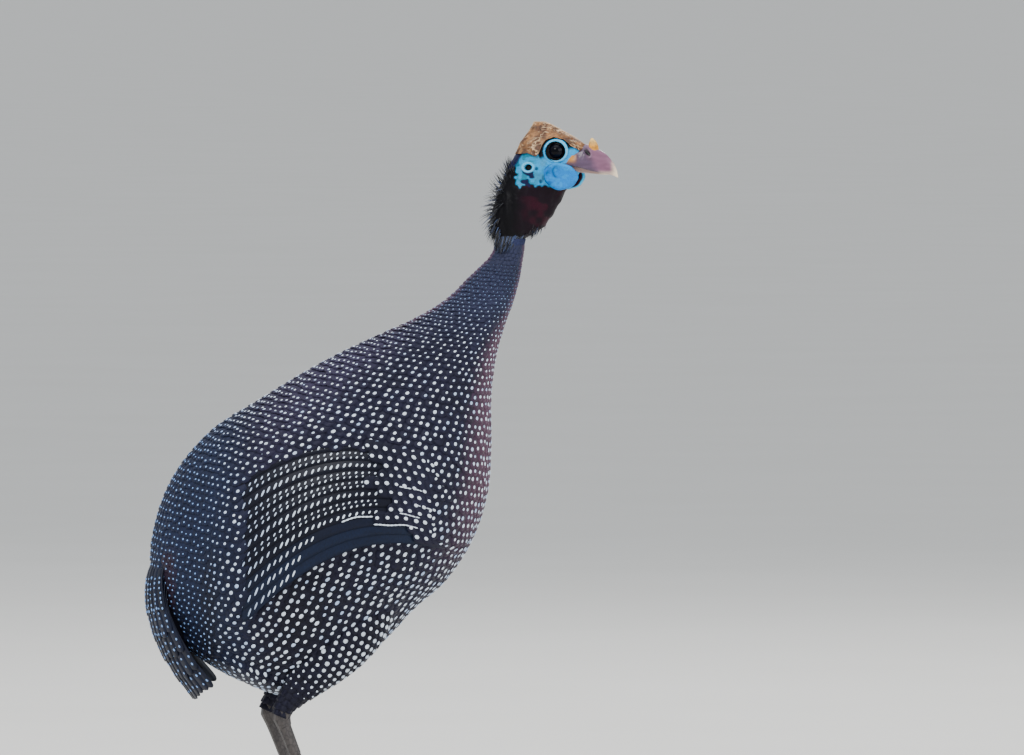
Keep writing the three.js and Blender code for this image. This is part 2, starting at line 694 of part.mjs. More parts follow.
// Values along a limb or toe, two for each scute, and the rise of the overlapping scutes between them.
function scuteValues(from, to, count) {
  const size = (to - from) / count;
  const ends = (k) => [from + k * size, from + (k + SCUTE_SHARE) * size];
  return Array.from({ length: count }, (_, k) => ends(k)).flat().concat(to);
}
const scuteRidge = (from, to, count) => (v) => {
  const share = (((v - from) / (to - from)) * count) % 1;
  return 1 + SCUTE_RISE * (share > 0.5 ? 1 : 0);
};

// Part of a toe between two distances from the middle of the foot, flat underneath.
function toePart(toe, side, from, to, count) {
  const turn = THREE.MathUtils.degToRad(toe.angle) * -side;
  const ridge = scuteRidge(from, to, count);
  const rings = scuteValues(from, to, count).map((d) => {
    const share = Math.min(1, d / toe.length);
    const pads = 1 + 0.07 * Math.sin(share * Math.PI * 5);
    const r = (toe.radius + (toe.tip - toe.radius) * share) * pads;
    return Array.from({ length: TOE_SIDES }, (_, i) => {
      const angle = ((i + 0.5) / TOE_SIDES) * 2 * Math.PI;
      const rise = Math.sin(angle) > 0 ? ridge(d) : 1;
      const across = Math.cos(angle) * r * rise;
      return new THREE.Vector3(
        FOOT.x - side * STRIDE + Math.cos(turn) * d - Math.sin(turn) * across,
        side * LEG_Y + Math.sin(turn) * d + Math.cos(turn) * across,
        Math.max(0, r * 0.92 + Math.sin(angle) * r * rise),
      );
    });
  });
  return overRings(rings);
}

function shank(side) {
  const last = SHANK.length - 1;
  const leg = limb(
    SHANK,
    scuteValues(0, last, SHANK_SCUTES),
    side * LEG_Y,
    -side * STRIDE,
    8,
    scuteRidge(0, last, SHANK_SCUTES),
  );
  const { pad: half, wide, height, rise } = FOOT;
  const pad = ball(FOOT.x - side * STRIDE, side * LEG_Y, height, half, half * wide, height + rise, 0, 0, 6);
  const roots = TOES.map((toe) => toePart(toe, side, 0.5, toe.root, 2));
  return joined([leg, pad, ...roots]).subtract(layer(-50, 0)).subtract(layer(HOCK, 150));
}

// A curved claw whose tip comes down to the ground.
function claw(toe, side) {
  const turn = THREE.MathUtils.degToRad(toe.angle) * -side;
  const rings = [0, 0.35, 0.7, 1].map((t) => {
    const d = toe.length + GAP + toe.claw * t;
    const r = toe.tip * 0.86 * (1 - t) ** 0.8 + 0.25;
    const height = toe.tip * (1.02 + 0.25 * Math.sin(t * 2.4)) * (1 - t * t) + 0.3;
    return Array.from({ length: CLAW_SIDES }, (_, i) => {
      const angle = ((i + 0.5) / CLAW_SIDES) * 2 * Math.PI;
      const across = Math.cos(angle) * r * 0.8;
      return new THREE.Vector3(
        FOOT.x - side * STRIDE + Math.cos(turn) * d - Math.sin(turn) * across,
        side * LEG_Y + Math.sin(turn) * d + Math.cos(turn) * across,
        Math.max(0, height + Math.sin(angle) * r),
      );
    });
  });
  return overRings(rings);
}

const bird = new THREE.Group();
bird.add(meshOf("torso", trunk, finish(COLOURS.plumage, 0.8)));
bird.add(meshOf("neck", neck, finish(COLOURS.neck, 0.8)));
bird.add(meshOf("neck_bare", bareNeck(), finish(COLOURS.bare, 0.6)));
bird.add(meshOf("tail", tail(), finish(COLOURS.tail, 0.8)));

// The head's own frame turns about the top of the neck.
const headGroup = new THREE.Group();
headGroup.position.set(HEAD_AXIS, 0, 0);
headGroup.rotation.z = HEAD_TURN;
const headFrame = new THREE.Group();
headFrame.position.x = -HEAD_AXIS;
headGroup.add(headFrame);
bird.add(headGroup);

const upper = billUpper();
const billSpace = bill(
  BILL_UPPER.map(([rx, rz, ex, ez, w]) => [rx, rz + GAP, ex, ez - GAP, w + GAP]),
  steps(0, BILL_UPPER.length - 1, 0.5),
);
headFrame.add(meshOf("head", head(), finish(COLOURS.skin, 0.55)));
headFrame.add(meshOf("casque", casque(billSpace), finish(COLOURS.casque, 0.6)));
headFrame.add(meshOf("bill_upper", upper, finish(COLOURS.bill, 0.4)));
const billLower = bill(BILL_LOWER, steps(0, BILL_LOWER.length - 1, 0.5));
headFrame.add(meshOf("bill_lower", billLower, finish(COLOURS.lower, 0.4)));
const knob = levels(KNOB, 10, steps(0, KNOB.length - 1, 0.5)).subtract(billSpace);
headFrame.add(meshOf("nasal_knob", knob, finish(COLOURS.knob, 0.5)));

const rightWing = largest(wing());
for (const [name, side] of [["right", -1], ["left", 1]]) {
  const eyeBall = ball(EYE.x, side * EYE.y, EYE.z, EYE.radius, EYE.radius, EYE.radius, 0, 0, 6);
  headFrame.add(meshOf(`eye_${name}`, eyeBall, finish(COLOURS.eye, 0.05)));
  headFrame.add(meshOf(`wattle_${name}`, wattle(side), finish(COLOURS.wattle, 0.5)));
  bird.add(meshOf(`wing_${name}`, side < 0 ? rightWing : mirrored(rightWing), finish(COLOURS.wing, 0.7)));
  bird.add(meshOf(`thigh_${name}`, thigh(side), finish(COLOURS.plumage, 0.8)));
  bird.add(meshOf(`shank_${name}`, shank(side), finish(COLOURS.scale, 0.55)));
  for (const toe of TOES) {
    const part = toePart(toe, side, toe.root + GAP, toe.length, toe.scutes);
    bird.add(meshOf(`toe_${toe.name}_${name}`, part, finish(COLOURS.scale, 0.55)));
    bird.add(meshOf(`claw_${toe.name}_${name}`, claw(toe, side), finish(COLOURS.claw, 0.4)));
  }
}

// The origin is on the floor under the middle of the bird.
bird.updateMatrixWorld(true);
const extent = new THREE.Box3().setFromObject(bird, true);
const guineaFowl = new THREE.Group();
bird.position.x = -(extent.min.x + extent.max.x) / 2;
bird.position.y = -(extent.min.y + extent.max.y) / 2;
guineaFowl.add(bird);

export default guineaFowl;
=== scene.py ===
import math
import bpy
import numpy as np
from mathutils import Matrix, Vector


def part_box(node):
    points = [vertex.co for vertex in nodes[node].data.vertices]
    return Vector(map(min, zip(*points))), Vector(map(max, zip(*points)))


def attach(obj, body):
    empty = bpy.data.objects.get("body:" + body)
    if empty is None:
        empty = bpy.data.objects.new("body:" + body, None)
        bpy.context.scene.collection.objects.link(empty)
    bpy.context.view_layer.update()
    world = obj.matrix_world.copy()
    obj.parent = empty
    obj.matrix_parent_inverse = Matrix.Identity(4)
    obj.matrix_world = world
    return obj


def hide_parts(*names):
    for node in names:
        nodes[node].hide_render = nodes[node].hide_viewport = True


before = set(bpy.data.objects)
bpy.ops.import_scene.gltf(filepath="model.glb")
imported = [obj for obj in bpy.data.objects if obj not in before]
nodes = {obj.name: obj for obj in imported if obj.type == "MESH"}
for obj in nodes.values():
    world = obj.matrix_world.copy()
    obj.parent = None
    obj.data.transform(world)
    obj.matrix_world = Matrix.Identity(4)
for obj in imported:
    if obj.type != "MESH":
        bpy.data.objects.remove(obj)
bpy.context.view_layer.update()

# Lengths are millimetres in the part's own drawing, before it was centred over the origin.
millimetre = 0.001
collarBackX = 137.2
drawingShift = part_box("neck")[1].x - collarBackX * millimetre
random = np.random.default_rng(41)


def toLinear(code):
    # sRGB hex to linear light: c/12.92 below 0.04045, ((c + 0.055)/1.055)^2.4 above it
    c = np.array([int(code[i:i + 2], 16) for i in (1, 3, 5)]) / 255
    return np.where(c <= 0.04045, c / 12.92, ((c + 0.055) / 1.055) ** 2.4)


def smooth(low, high, value):
    # 3t^2 - 2t^3, with t the value's place between low and high
    t = np.clip((value - low) / (high - low), 0, 1)
    return t * t * (3 - 2 * t)


def blend(colour, *layers):
    # Lays each (colour, amount) over what is there: colour·(1 - amount) + over·amount
    for over, amount in layers:
        amount = np.asarray(amount)[..., None]
        colour = colour * (1 - amount) + over * amount
    return colour


latticeSize = 32
latticeValues = random.random((latticeSize,) * 3)


def mottle(points, size, seed=0):
    # Value noise from 0 to 1: lattice values of that size in mm, blended by 3f^2 - 2f^3 of the fraction
    q = np.asarray(points, float) / size + seed * 7.3
    cell = np.floor(q).astype(int)
    f = q - cell
    f = f * f * (3 - 2 * f)
    total = np.zeros(q.shape[:-1])
    for corner in np.ndindex(2, 2, 2):
        weight = np.prod(np.where(np.array(corner) == 1, f, 1 - f), axis=-1)
        at = (cell + corner) % latticeSize
        total += weight * latticeValues[at[..., 0], at[..., 1], at[..., 2]]
    return total


def along(rows, v):
    # Hermite curve through the rows, with central slopes: h00·a + h10·ma + h01·b + h11·mb
    rows = np.asarray(rows, float)
    slopes = np.gradient(rows, axis=0)
    v = np.asarray(v, float)
    i = np.clip(np.floor(v).astype(int), 0, len(rows) - 2)
    t = (v - i)[..., None]
    return ((2 * t ** 3 - 3 * t ** 2 + 1) * rows[i] + (t ** 3 - 2 * t ** 2 + t) * slopes[i]
            + (3 * t ** 2 - 2 * t ** 3) * rows[i + 1] + (t ** 3 - t ** 2) * slopes[i + 1])


def pack(*values):
    # Joins coordinates along a new last axis, after numpy has given them all one shape
    return np.stack(np.broadcast_arrays(*values), axis=-1)


def around(count):
    # Angles of a full turn, without the last one that repeats the first
    return np.linspace(0, 2 * math.pi, count, endpoint=False)


def gridOf(first, second):
    # Every pair of the two lists, as rows × columns × 2
    return pack(*np.meshgrid(first, second, indexing="ij"))


def unit(vectors):
    return vectors / np.maximum(np.linalg.norm(vectors, axis=-1, keepdims=True), 1e-9)


def surfaceOf(pointAt, stepFirst, stepSecond, centreAt):
    # A surface gives the point and the outward normal, the cross product of its two slopes
    def surface(place):
        a, b = place[..., 0], place[..., 1]
        point = pointAt(a, b)
        first = pointAt(a + stepFirst, b) - pointAt(a - stepFirst, b)
        second = pointAt(a, b + stepSecond) - pointAt(a, b - stepSecond)
        normal = unit(np.cross(first, second))
        outwards = np.sum(normal * (point - centreAt(a, b)), axis=-1, keepdims=True)
        return point, normal * np.where(outwards < 0, -1, 1)
    return surface


# Meshes
def meshObject(name, points, faceSets, material, uv=None, tint=None, lie=None, body="root"):
    # faceSets holds arrays of triangles or quads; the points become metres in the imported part's frame
    mesh = bpy.data.meshes.new(name)
    points = np.asarray(points, float).reshape(-1, 3)
    placed = points * millimetre + np.array([drawingShift, 0, 0])
    mesh.vertices.add(len(placed))
    mesh.vertices.foreach_set("co", placed.ravel())
    loops = np.concatenate([f.ravel() for f in faceSets])
    sizes = np.concatenate([np.full(len(f), f.shape[1]) for f in faceSets])
    mesh.loops.add(len(loops))
    mesh.loops.foreach_set("vertex_index", loops)
    mesh.polygons.add(len(sizes))
    mesh.polygons.foreach_set("loop_start", np.concatenate([[0], np.cumsum(sizes)[:-1]]))
    if uv is not None:
        layer = mesh.uv_layers.new(name="OFBake")
        layer.uv.foreach_set("vector", uv.reshape(-1, 2)[loops].ravel())
    if tint is not None:
        colour = mesh.color_attributes.new("tint", "FLOAT_COLOR", "POINT")
        opaque = np.concatenate([tint.reshape(-1, 3), np.ones((len(placed), 1))], axis=1)
        colour.data.foreach_set("color", opaque.ravel())
    if lie is not None:
        mesh.attributes.new("lie", "FLOAT_VECTOR", "POINT").data.foreach_set("vector", lie.ravel())
    mesh.update(calc_edges=True)
    mesh.shade_smooth()
    made = bpy.data.objects.new(name, mesh)
    bpy.context.scene.collection.objects.link(made)
    mesh.materials.append(material)
    if body:
        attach(made, body)
    return made


def gridQuads(rows, columns, closed=False):
    # Quads of a rows × columns grid; a closed one joins its last column to its first
    i, j = np.meshgrid(np.arange(rows - 1), np.arange(columns if closed else columns - 1), indexing="ij")
    right, below = (j + 1) % columns, i * columns + columns
    return pack(i * columns + j, below + j, below + right, i * columns + right).reshape(-1, 4)


def closedLoft(name, rings, material, tint, ends=None, endTints=None):
    # Rings of points joined in order, each end closed onto its middle or onto the point given for it
    rows, columns = rings.shape[:2]
    tint = np.broadcast_to(tint, rings.shape)
    ends = rings[[0, -1]].mean(axis=1) if ends is None else ends
    endTints = tint[[0, -1]].mean(axis=1) if endTints is None else endTints
    points = np.concatenate([rings.reshape(-1, 3), ends])
    tints = np.concatenate([tint.reshape(-1, 3), endTints])
    k = np.arange(columns)
    after, last = (k + 1) % columns, (rows - 1) * columns
    caps = np.concatenate([pack(after, k, rows * columns), pack(last + k, last + after, rows * columns + 1)])
    quads = gridQuads(rows, columns, True)[:, ::-1]
    # Faces that look inwards, as the sign of their volume about the middle tells, are turned round
    q = points[quads] - points.mean(axis=0)
    if np.sum(np.cross(q[:, 1] - q[:, 0], q[:, 2] - q[:, 0]) * q[:, 0]) < 0:
        quads, caps = quads[:, ::-1], caps[:, ::-1]
    return meshObject(name, points, [quads, caps], material, tint=tints)


def sheetFaces(rows, columns):
    # Both faces of a thin sheet and the walls round its edge; the lower face follows the upper in the points
    top = gridQuads(rows, columns)
    size = rows * columns
    i, j = np.arange(rows), np.arange(columns)
    edge = np.concatenate([i * columns, (rows - 1) * columns + j[1:], i[::-1][1:] * columns + columns - 1,
                           j[::-1][1:-1]])
    after = np.roll(edge, -1)
    walls = pack(after, edge, edge + size, after + size)
    return np.concatenate([top, top[:, ::-1] + size, walls])


def repeated(faces, count, size):
    # The same faces for each of count pieces of size points
    return (np.arange(count)[:, None, None] * size + faces[None]).reshape(-1, faces.shape[1])


def facing(surface, root, lengthway, crossway):
    # Turns the crossway round where lengthway × crossway would point inwards
    here, normal = surface(root)
    first = surface(root + 0.2 * lengthway)[0] - here
    second = surface(root + 0.2 * crossway)[0] - here
    sign = np.sign(np.sum(np.cross(first, second) * normal, axis=-1, keepdims=True))
    return crossway * np.where(sign == 0, 1, sign)


patchSize = 0.003  # each feather's share of the bake map


def layFeathers(surface, root, lengthway, crossway, lift, shape, sizes, riseShare=1.0):
    # point = surface(root + s·lengthway + u·width(s)·crossway) + normal·(lift + rise(s) - crown·u²)
    s, width, rise = (np.array(shape[k], float) for k in ("stations", "widths", "rises"))
    u = np.linspace(-1, 1, shape["across"])
    count, rows, columns = len(root), len(s), len(u)
    sizes = np.broadcast_to(sizes, root.shape)[:, None, None, None]
    crossway = facing(surface, root, lengthway, crossway)
    place = (root[:, None, None] + s[None, :, None, None] * lengthway[:, None, None]
             + (u[None, None] * width[None, :, None])[..., None] * crossway[:, None, None])
    point, normal = surface(place)
    rise = np.broadcast_to(riseShare, lift.shape)[:, None] * rise[None]
    top = point + normal * (lift[:, None, None] + rise[..., None] - shape["crown"] * u ** 2)[..., None]
    local = np.broadcast_to(gridOf(s, u), (count, 2, rows, columns, 2))
    tag = 3.7 * np.arange(count)[:, None, None, None]
    return {"points": np.stack([top, top - normal * shape["thick"]], axis=1), "local": local,
            "faces": repeated(sheetFaces(rows, columns), count, 2 * rows * columns),
            "lie": pack(local[..., 0] * sizes[..., 0], local[..., 1] * width[:, None] * sizes[..., 1], tag)}


def laySpots(surface, root, lengthway, crossway, lift, height, sides=8):
    # Low dome: rim, shoulder at 0.72 of the rim and crown, over an ellipse of the two half ways
    crossway = facing(surface, root, lengthway, crossway)
    turn = around(sides)
    ring = pack(np.cos(turn), np.sin(turn))
    flat = np.concatenate([ring, ring * 0.72, [[0, 0], [0, 0]]])
    up = np.concatenate([np.full(sides, -0.35), np.full(sides, height * 0.8), [height, -0.35]])
    place = root[:, None] + flat[None, :, :1] * lengthway[:, None] + flat[None, :, 1:] * crossway[:, None]
    point, normal = surface(place)
    count, size = len(root), len(flat)
    lift = np.broadcast_to(lift, count)
    k = np.arange(sides)
    after = (k + 1) % sides
    walls = pack(k, after, after + sides, k + sides)
    caps = np.concatenate([pack(k + sides, after + sides, 2 * sides), pack(after, k, 2 * sides + 1)])
    return {"points": point + normal * (lift[:, None] + up)[..., None],
            "faces": repeated(walls, count, size), "caps": repeated(caps, count, size),
            "local": np.broadcast_to(flat * 0.5 + 0.5, (count, size, 2))}


def thinned(points, reach):
    # Keeps a point only when no kept point before it lies within its reach
    kept = np.ones(len(points), bool)
    for k in range(1, len(points)):
        before = points[:k][kept[:k]]
        kept[k] = not (np.linalg.norm(before - points[k], axis=1) < reach[k]).any()
    return kept


def patches(rootMap, local):
    # Each feather's patch on the bake map, at its root's place on an unwrap of the bird's own shape
    spread = rootMap.reshape((-1,) + (1,) * (local.ndim - 2) + (2,))
    return 0.004 + 0.99 * spread + patchSize * (local - 0.5)


def dressed(laid, tone, rootMap):
    # Gives each feather or spot its tint and its patch of the bake map
    laid["tint"] = np.repeat(tone, laid["points"][0].size // 3, axis=0)
    laid["map"] = patches(rootMap, laid["local"])
    return laid


def coatMesh(name, parts, material):
    # One mesh from many sets of feathers or spots, whose faces count on from set to set
    def joined(key):
        return np.concatenate([p[key].reshape(-1, p[key].shape[-1]) for p in parts])
    starts = np.cumsum([0] + [p["points"].size // 3 for p in parts[:-1]])
    faces = [np.concatenate([p[key] + start for p, start in zip(parts, starts)])
             for key in ("faces", "caps") if key in parts[0]]
    lie = joined("lie") if "lie" in parts[0] else None
    return meshObject(name, joined("points"), faces, material, uv=joined("map"), tint=joined("tint"), lie=lie)


# The trunk: back x, z, front x, z and half width of each slice, from the collar to the rump
trunkRows = [
    [116.9, 414.0, 137.2, 414.0, 9.4], [112, 401.8, 135.1, 400.4, 11], [98, 387.8, 132.3, 385, 15],
    [80.5, 371, 128.1, 369.6, 21], [56.7, 357, 121.1, 350, 30], [19.6, 340.2, 115.5, 327.6, 42],
    [-13.3, 323.4, 112.7, 301, 54], [-50.4, 301, 112.7, 266, 65], [-81.2, 281.4, 109.9, 234.5, 72],
    [-104.3, 256.2, 100.1, 204.4, 75], [-117.6, 231, 82.6, 176.4, 74], [-125, 203, 59.5, 155.4, 69],
    [-125.5, 180.6, 38.5, 133, 61], [-121.5, 161, 14, 110.6, 49], [-112, 141, -14, 98, 35]]
trunkLast = len(trunkRows) - 1
trunkEgg = 0.15
rumpReach = 17


def trunkSlice(v):
    # Centre and half depth of a slice; past the last row it closes as a quarter round
    row = along(trunkRows, np.minimum(v, trunkLast))
    past = np.clip(v - trunkLast, 0, 0.995) * math.pi / 2
    back, front = row[..., 0:2], row[..., 2:4]
    centre = (back + front) / 2 + (rumpReach * np.sin(past))[..., None] * np.array([0.2, -0.98])
    return centre, (back - front) / 2 * np.cos(past)[..., None], row[..., 4] * np.cos(past)


def trunkPoint(v, angle):
    # centre + cos·half depth, sin·half width·(1 - egg·cos): the angle is 0 at the back, 90° on the left
    v = np.maximum(v, 0)
    centre, half, wide = trunkSlice(v)
    x = centre[..., 0] + np.cos(angle) * half[..., 0]
    z = centre[..., 1] + np.cos(angle) * half[..., 1]
    return pack(x, np.sin(angle) * wide * (1 - trunkEgg * np.cos(angle)), z)


def trunkCentre(v, angle):
    centre, _, _ = trunkSlice(np.maximum(v, 0))
    return pack(centre[..., 0], 0, centre[..., 1])


trunkSurface = surfaceOf(trunkPoint, 0.01, 0.004, trunkCentre)

# The bare neck and head: height, hind x, face x and half width of each level
headRows = [
    [414.3, 116.4, 137.2, 9.2], [419, 114.8, 145, 11], [423, 113.8, 150.3, 12], [431, 112.9, 156.5, 13.3],
    [440, 115, 161.5, 13.8], [448, 117.6, 166, 13.8], [456, 120.8, 172.5, 13.5], [464, 124.2, 177.4, 13.5],
    [470, 128, 179.3, 13.4], [476, 132, 179.8, 12.9], [481, 136, 176.4, 11.4], [486, 140.5, 168, 8],
    [488.6, 146, 160, 3.5]]
headFrom = 5
headEgg = 0.2
headTurn = math.radians(-12)
turnAxisX = 140


def turned(points, amount=1.0):
    # Turns the head towards the camera about the upright axis through x = 140 mm
    angle = headTurn * np.asarray(amount)
    x, y, z = points[..., 0] - turnAxisX, points[..., 1], points[..., 2]
    return pack(turnAxisX + x * np.cos(angle) - y * np.sin(angle), x * np.sin(angle) + y * np.cos(angle), z)


def levelPoint(rows, v, angle, egg=headEgg):
    # middle + cos·half depth, sin·half width·(1 - egg·cos): the angle is 0 at the face
    row = along(rows, np.clip(v, 0, len(rows) - 1))
    z, rear, face, wide = (row[..., k] for k in range(4))
    x = (rear + face) / 2 + np.cos(angle) * (face - rear) / 2
    return pack(x, np.sin(angle) * wide * (1 - egg * np.cos(angle)), z)


def headPoint(v, angle):
    return turned(levelPoint(headRows, v, angle), np.minimum(1, np.asarray(v) / headFrom))


def headCentre(v, angle):
    return turned(levelPoint(headRows, v, angle * 0 + math.pi / 2) * np.array([1, 0, 1]),
                  np.minimum(1, np.asarray(v) / headFrom))


headSurface = surfaceOf(headPoint, 0.02, 0.01, headCentre)

# Materials
def addNode(material, kind, inputs=None, **settings):
    # One node with its settings; an input is a value, or (node, output) to link
    tree = material.node_tree
    node = tree.nodes.new(kind)
    for key, value in settings.items():
        setattr(node, key, value)
    for key, value in (inputs or {}).items():
        if isinstance(value, tuple) and hasattr(value[0], "outputs"):
            tree.links.new(value[0].outputs[value[1]], node.inputs[key])
        else:
            node.inputs[key].default_value = value
    return node


def newMaterial(name, roughness, ior=1.5, **sockets):
    material = bpy.data.materials.new(name)
    material.use_nodes = True
    shader = material.node_tree.nodes["Principled BSDF"]
    shader.inputs["Roughness"].default_value = roughness
    shader.inputs["IOR"].default_value = ior
    for key, value in sockets.items():
        shader.inputs[key.replace("_", " ")].default_value = value
    return material, shader


def link(material, source, target, socket):
    material.node_tree.links.new(source[0].outputs[source[1]], target.inputs[socket])


def patternScale(sizeInMillimetres):
    return 1 / (sizeInMillimetres * millimetre)


def noiseOf(material, place, scale, **inputs):
    return addNode(material, "ShaderNodeTexNoise", {"Vector": place, "Scale": scale, **inputs})


def ranged(material, value, **limits):
    # Maps a value from its own limits, 0 and 1 where none are given, to the new ones
    limits = {key.replace("_", " "): limit for key, limit in limits.items()}
    return addNode(material, "ShaderNodeMapRange", {"Value": value, **limits})


def finishBase(material, shader, colour, amount, height=None, strength=0.6, depth=0):
    # Base colour = colour × amount, and a bump of that depth in mm where a height is given
    broken = addNode(material, "ShaderNodeVectorMath", {0: colour, 1: amount}, operation="MULTIPLY")
    link(material, (broken, "Vector"), shader, "Base Color")
    if height:
        raised = addNode(material, "ShaderNodeBump",
                         {"Height": height, "Strength": strength, "Distance": depth * millimetre})
        link(material, (raised, "Normal"), shader, "Normal")


def tintedMaterial(name, roughness, grain, grainRange, bump, lie=False, ior=1.5, stretch=(1, 1, 1),
                   **sockets):
    # Colour from the piece's own tint, broken by a grain of that size in mm, which also raises the bump
    material, shader = newMaterial(name, roughness, ior, **sockets)
    if lie:
        place, scale = (addNode(material, "ShaderNodeAttribute", attribute_name="lie"), "Vector"), 1 / grain
    else:
        place, scale = (addNode(material, "ShaderNodeTexCoord"), "Object"), patternScale(grain)
    spread = addNode(material, "ShaderNodeMapping", {"Vector": place, "Scale": stretch})
    noise = noiseOf(material, (spread, "Vector"), scale, Detail=3.0, Roughness=0.55)
    level = ranged(material, (noise, "Fac"), From_Min=0.3, From_Max=0.7, To_Min=grainRange[0],
                   To_Max=grainRange[1])
    tint = addNode(material, "ShaderNodeAttribute", attribute_name="tint")
    finishBase(material, shader, (tint, "Color"), (level, "Result"), (noise, "Fac"), depth=bump)
    return material


def noiseMix(material, place, size, first, second):
    # Two hex colours mixed by noise of that size in mm
    noise = noiseOf(material, (place, "Object"), patternScale(size))
    return addNode(material, "ShaderNodeMix", {"Factor": (noise, "Fac"), "A": (*toLinear(first), 1),
                                               "B": (*toLinear(second), 1)}, data_type="RGBA")


# Vaned contour feathers: barbs lie along the shaft, so the grain is fine across and long along it
contourVane = tintedMaterial("contour feather vane", 0.58, 0.55, (0.72, 1.34), 0.12, lie=True,
                             stretch=(0.35, 1.0, 1.0), Specular_IOR_Level=0.2, Sheen_Weight=0.02)
# Flight feathers are smoother and stiffer, so they shine a little more along the barbs
flightVane = tintedMaterial("flight feather vane", 0.44, 0.6, (0.7, 1.3), 0.1, lie=True,
                            stretch=(0.8, 0.25, 1.0), Specular_IOR_Level=0.2)
# The white spots have no pigment: chalky barbs over air
whiteBarbs = tintedMaterial("unpigmented white barbs", 0.66, 0.5, (0.88, 1.1), 0.05)
# Down and skin under the coat, dark and matt
underDown = tintedMaterial("dark under down", 0.85, 1.2, (0.7, 1.25), 0.2, Specular_IOR_Level=0.1)
# Living bare skin: waxy, finely pebbled, with a little light under it
bareSkin = tintedMaterial("pebbled bare skin", 0.46, 0.9, (0.86, 1.14), 0.16, ior=1.4,
                          Specular_IOR_Level=0.18, Subsurface_Weight=0.08,
                          Subsurface_Radius=(0.002, 0.001, 0.001), Subsurface_Scale=0.6)
# Horn over bone on the casque: dry, flaking in fine ridges
casqueHornFinish = tintedMaterial("dry flaking casque horn", 0.62, 1.5, (0.62, 1.35), 0.5,
                                  stretch=(0.7, 1.0, 0.45))
# The bill's horn is smooth and slightly waxy
billHornFinish = tintedMaterial("smooth bill horn", 0.3, 2.2, (0.88, 1.12), 0.06, ior=1.54,
                                stretch=(0.4, 1.0, 1.0))
# Bristles are bare shafts: hard, thin and glossy
bristleShaft = tintedMaterial("glossy black bristle", 0.34, 0.8, (0.7, 1.3), 0.05)
print("drawing, surfaces and finishes ready")

# Skin: a closed surface from the rump to the collar, under the coat by its depth, and one for neck and head
skinSettings = {"coatDepth": 3.0, "around": 160, "trunkSteps": 120, "headSteps": 260, "headAround": 220,
                "collarShade": 1.5}
plumageColours = {key: toLinear(code) for key, code in {
    "ground": "#15152a", "back": "#2f2942", "mauve": "#5a3c50", "slate": "#161f38", "neck": "#23273f",
    "dark": "#0a0a14", "underDown": "#08080e", "pale": "#e2edfb", "paleBlue": "#7fa4dc", "rust": "#2a1826",
    "bristle": "#0c0d16", "bristleGlint": "#3a4a70",
    "flight": "#04071a", "flightSlate": "#0c1830", "paintedPinkRimLight": "#664458"}.items()}
skinColours = {key: toLinear(code) for key, code in {
    "sky": "#1f9fdc", "lid": "#5cbdea", "teal": "#08748f", "navy": "#10153a", "throat": "#120510",
    "throatRed": "#2a0617", "black": "#040307", "lore": "#b97a12", "greyBlue": "#4a7f98",
    "pupil": "#020208", "iris": "#0a0a14"}.items()}

eyeSettings = {"x": 160.7, "y": 7.0, "z": 475.6, "radius": 6.4, "cornea": 0.45, "lidRadius": 7.5,
               "lidThick": 1.15, "lidY": 12.0}
faceMarks = {"earX": 141.4, "earZ": 464.1, "loreX": 175.6, "loreZ": 470.2, "throatTop": 451.5,
             "cheekRear": 130.5}


def bareTint(points):
    # Colour of the bare skin by its place on the head
    c, e, m = skinColours, eyeSettings, faceMarks
    x, z = points[..., 0], points[..., 2]
    fine, broad = mottle(points, 2.2, 1), mottle(points, 5.0, 2)
    lowEdge = m["throatTop"] + (fine - 0.5) * 3.2 + 0.05 * (x - 150)
    rearEdge = m["cheekRear"] + (fine - 0.5) * 4.5 + smooth(470, 456, z) * 2
    blue = smooth(-0.7, 0.7, z - lowEdge) * smooth(-0.8, 0.8, x - rearEdge)
    earSide = smooth(153, 143, x + (fine - 0.5) * 5)
    dark = smooth(0.60, 0.68, mottle(points, 3.1, 5)) * smooth(156, 148, x) * smooth(468, 461, z)
    cheek = blend(c["sky"], (c["greyBlue"], smooth(0.55, 0.8, broad) * 0.5),
                  (c["teal"], earSide * (0.35 + 0.65 * smooth(0.42, 0.6, fine))), (c["navy"], dark))
    eyeAway = np.hypot(x - e["x"], z - e["z"])
    browLine = smooth(-4, 0, z - e["z"] - 0.35 * (x - e["x"]))
    ear = np.hypot((x - m["earX"]) * 0.8, z - m["earZ"])
    # Black in the middle of the ear's cup is painted shade of the opening
    return blend(
        c["throat"],
        (c["throatRed"], smooth(0.45, 0.75, broad) * smooth(132, 146, x)),
        (c["black"], smooth(139, 128, x + (broad - 0.5) * 6)),
        (cheek, blue),
        (c["navy"], smooth(136.5, 133.5, x - (z - 470) * 0.55) * smooth(462, 466, z)),
        (c["black"], smooth(8.3, 8.8, eyeAway) * smooth(12.6, 11.8, eyeAway) * browLine),
        (c["black"], smooth(7.6, 7.1, eyeAway)),
        (c["lore"], smooth(3.4, 2.2, np.hypot((x - m["loreX"]) * 1.1, z - m["loreZ"]))),
        (c["lid"], smooth(4.1, 3.4, ear) * smooth(2.0, 2.6, ear)),
        (c["black"], smooth(2.3, 1.8, ear)))


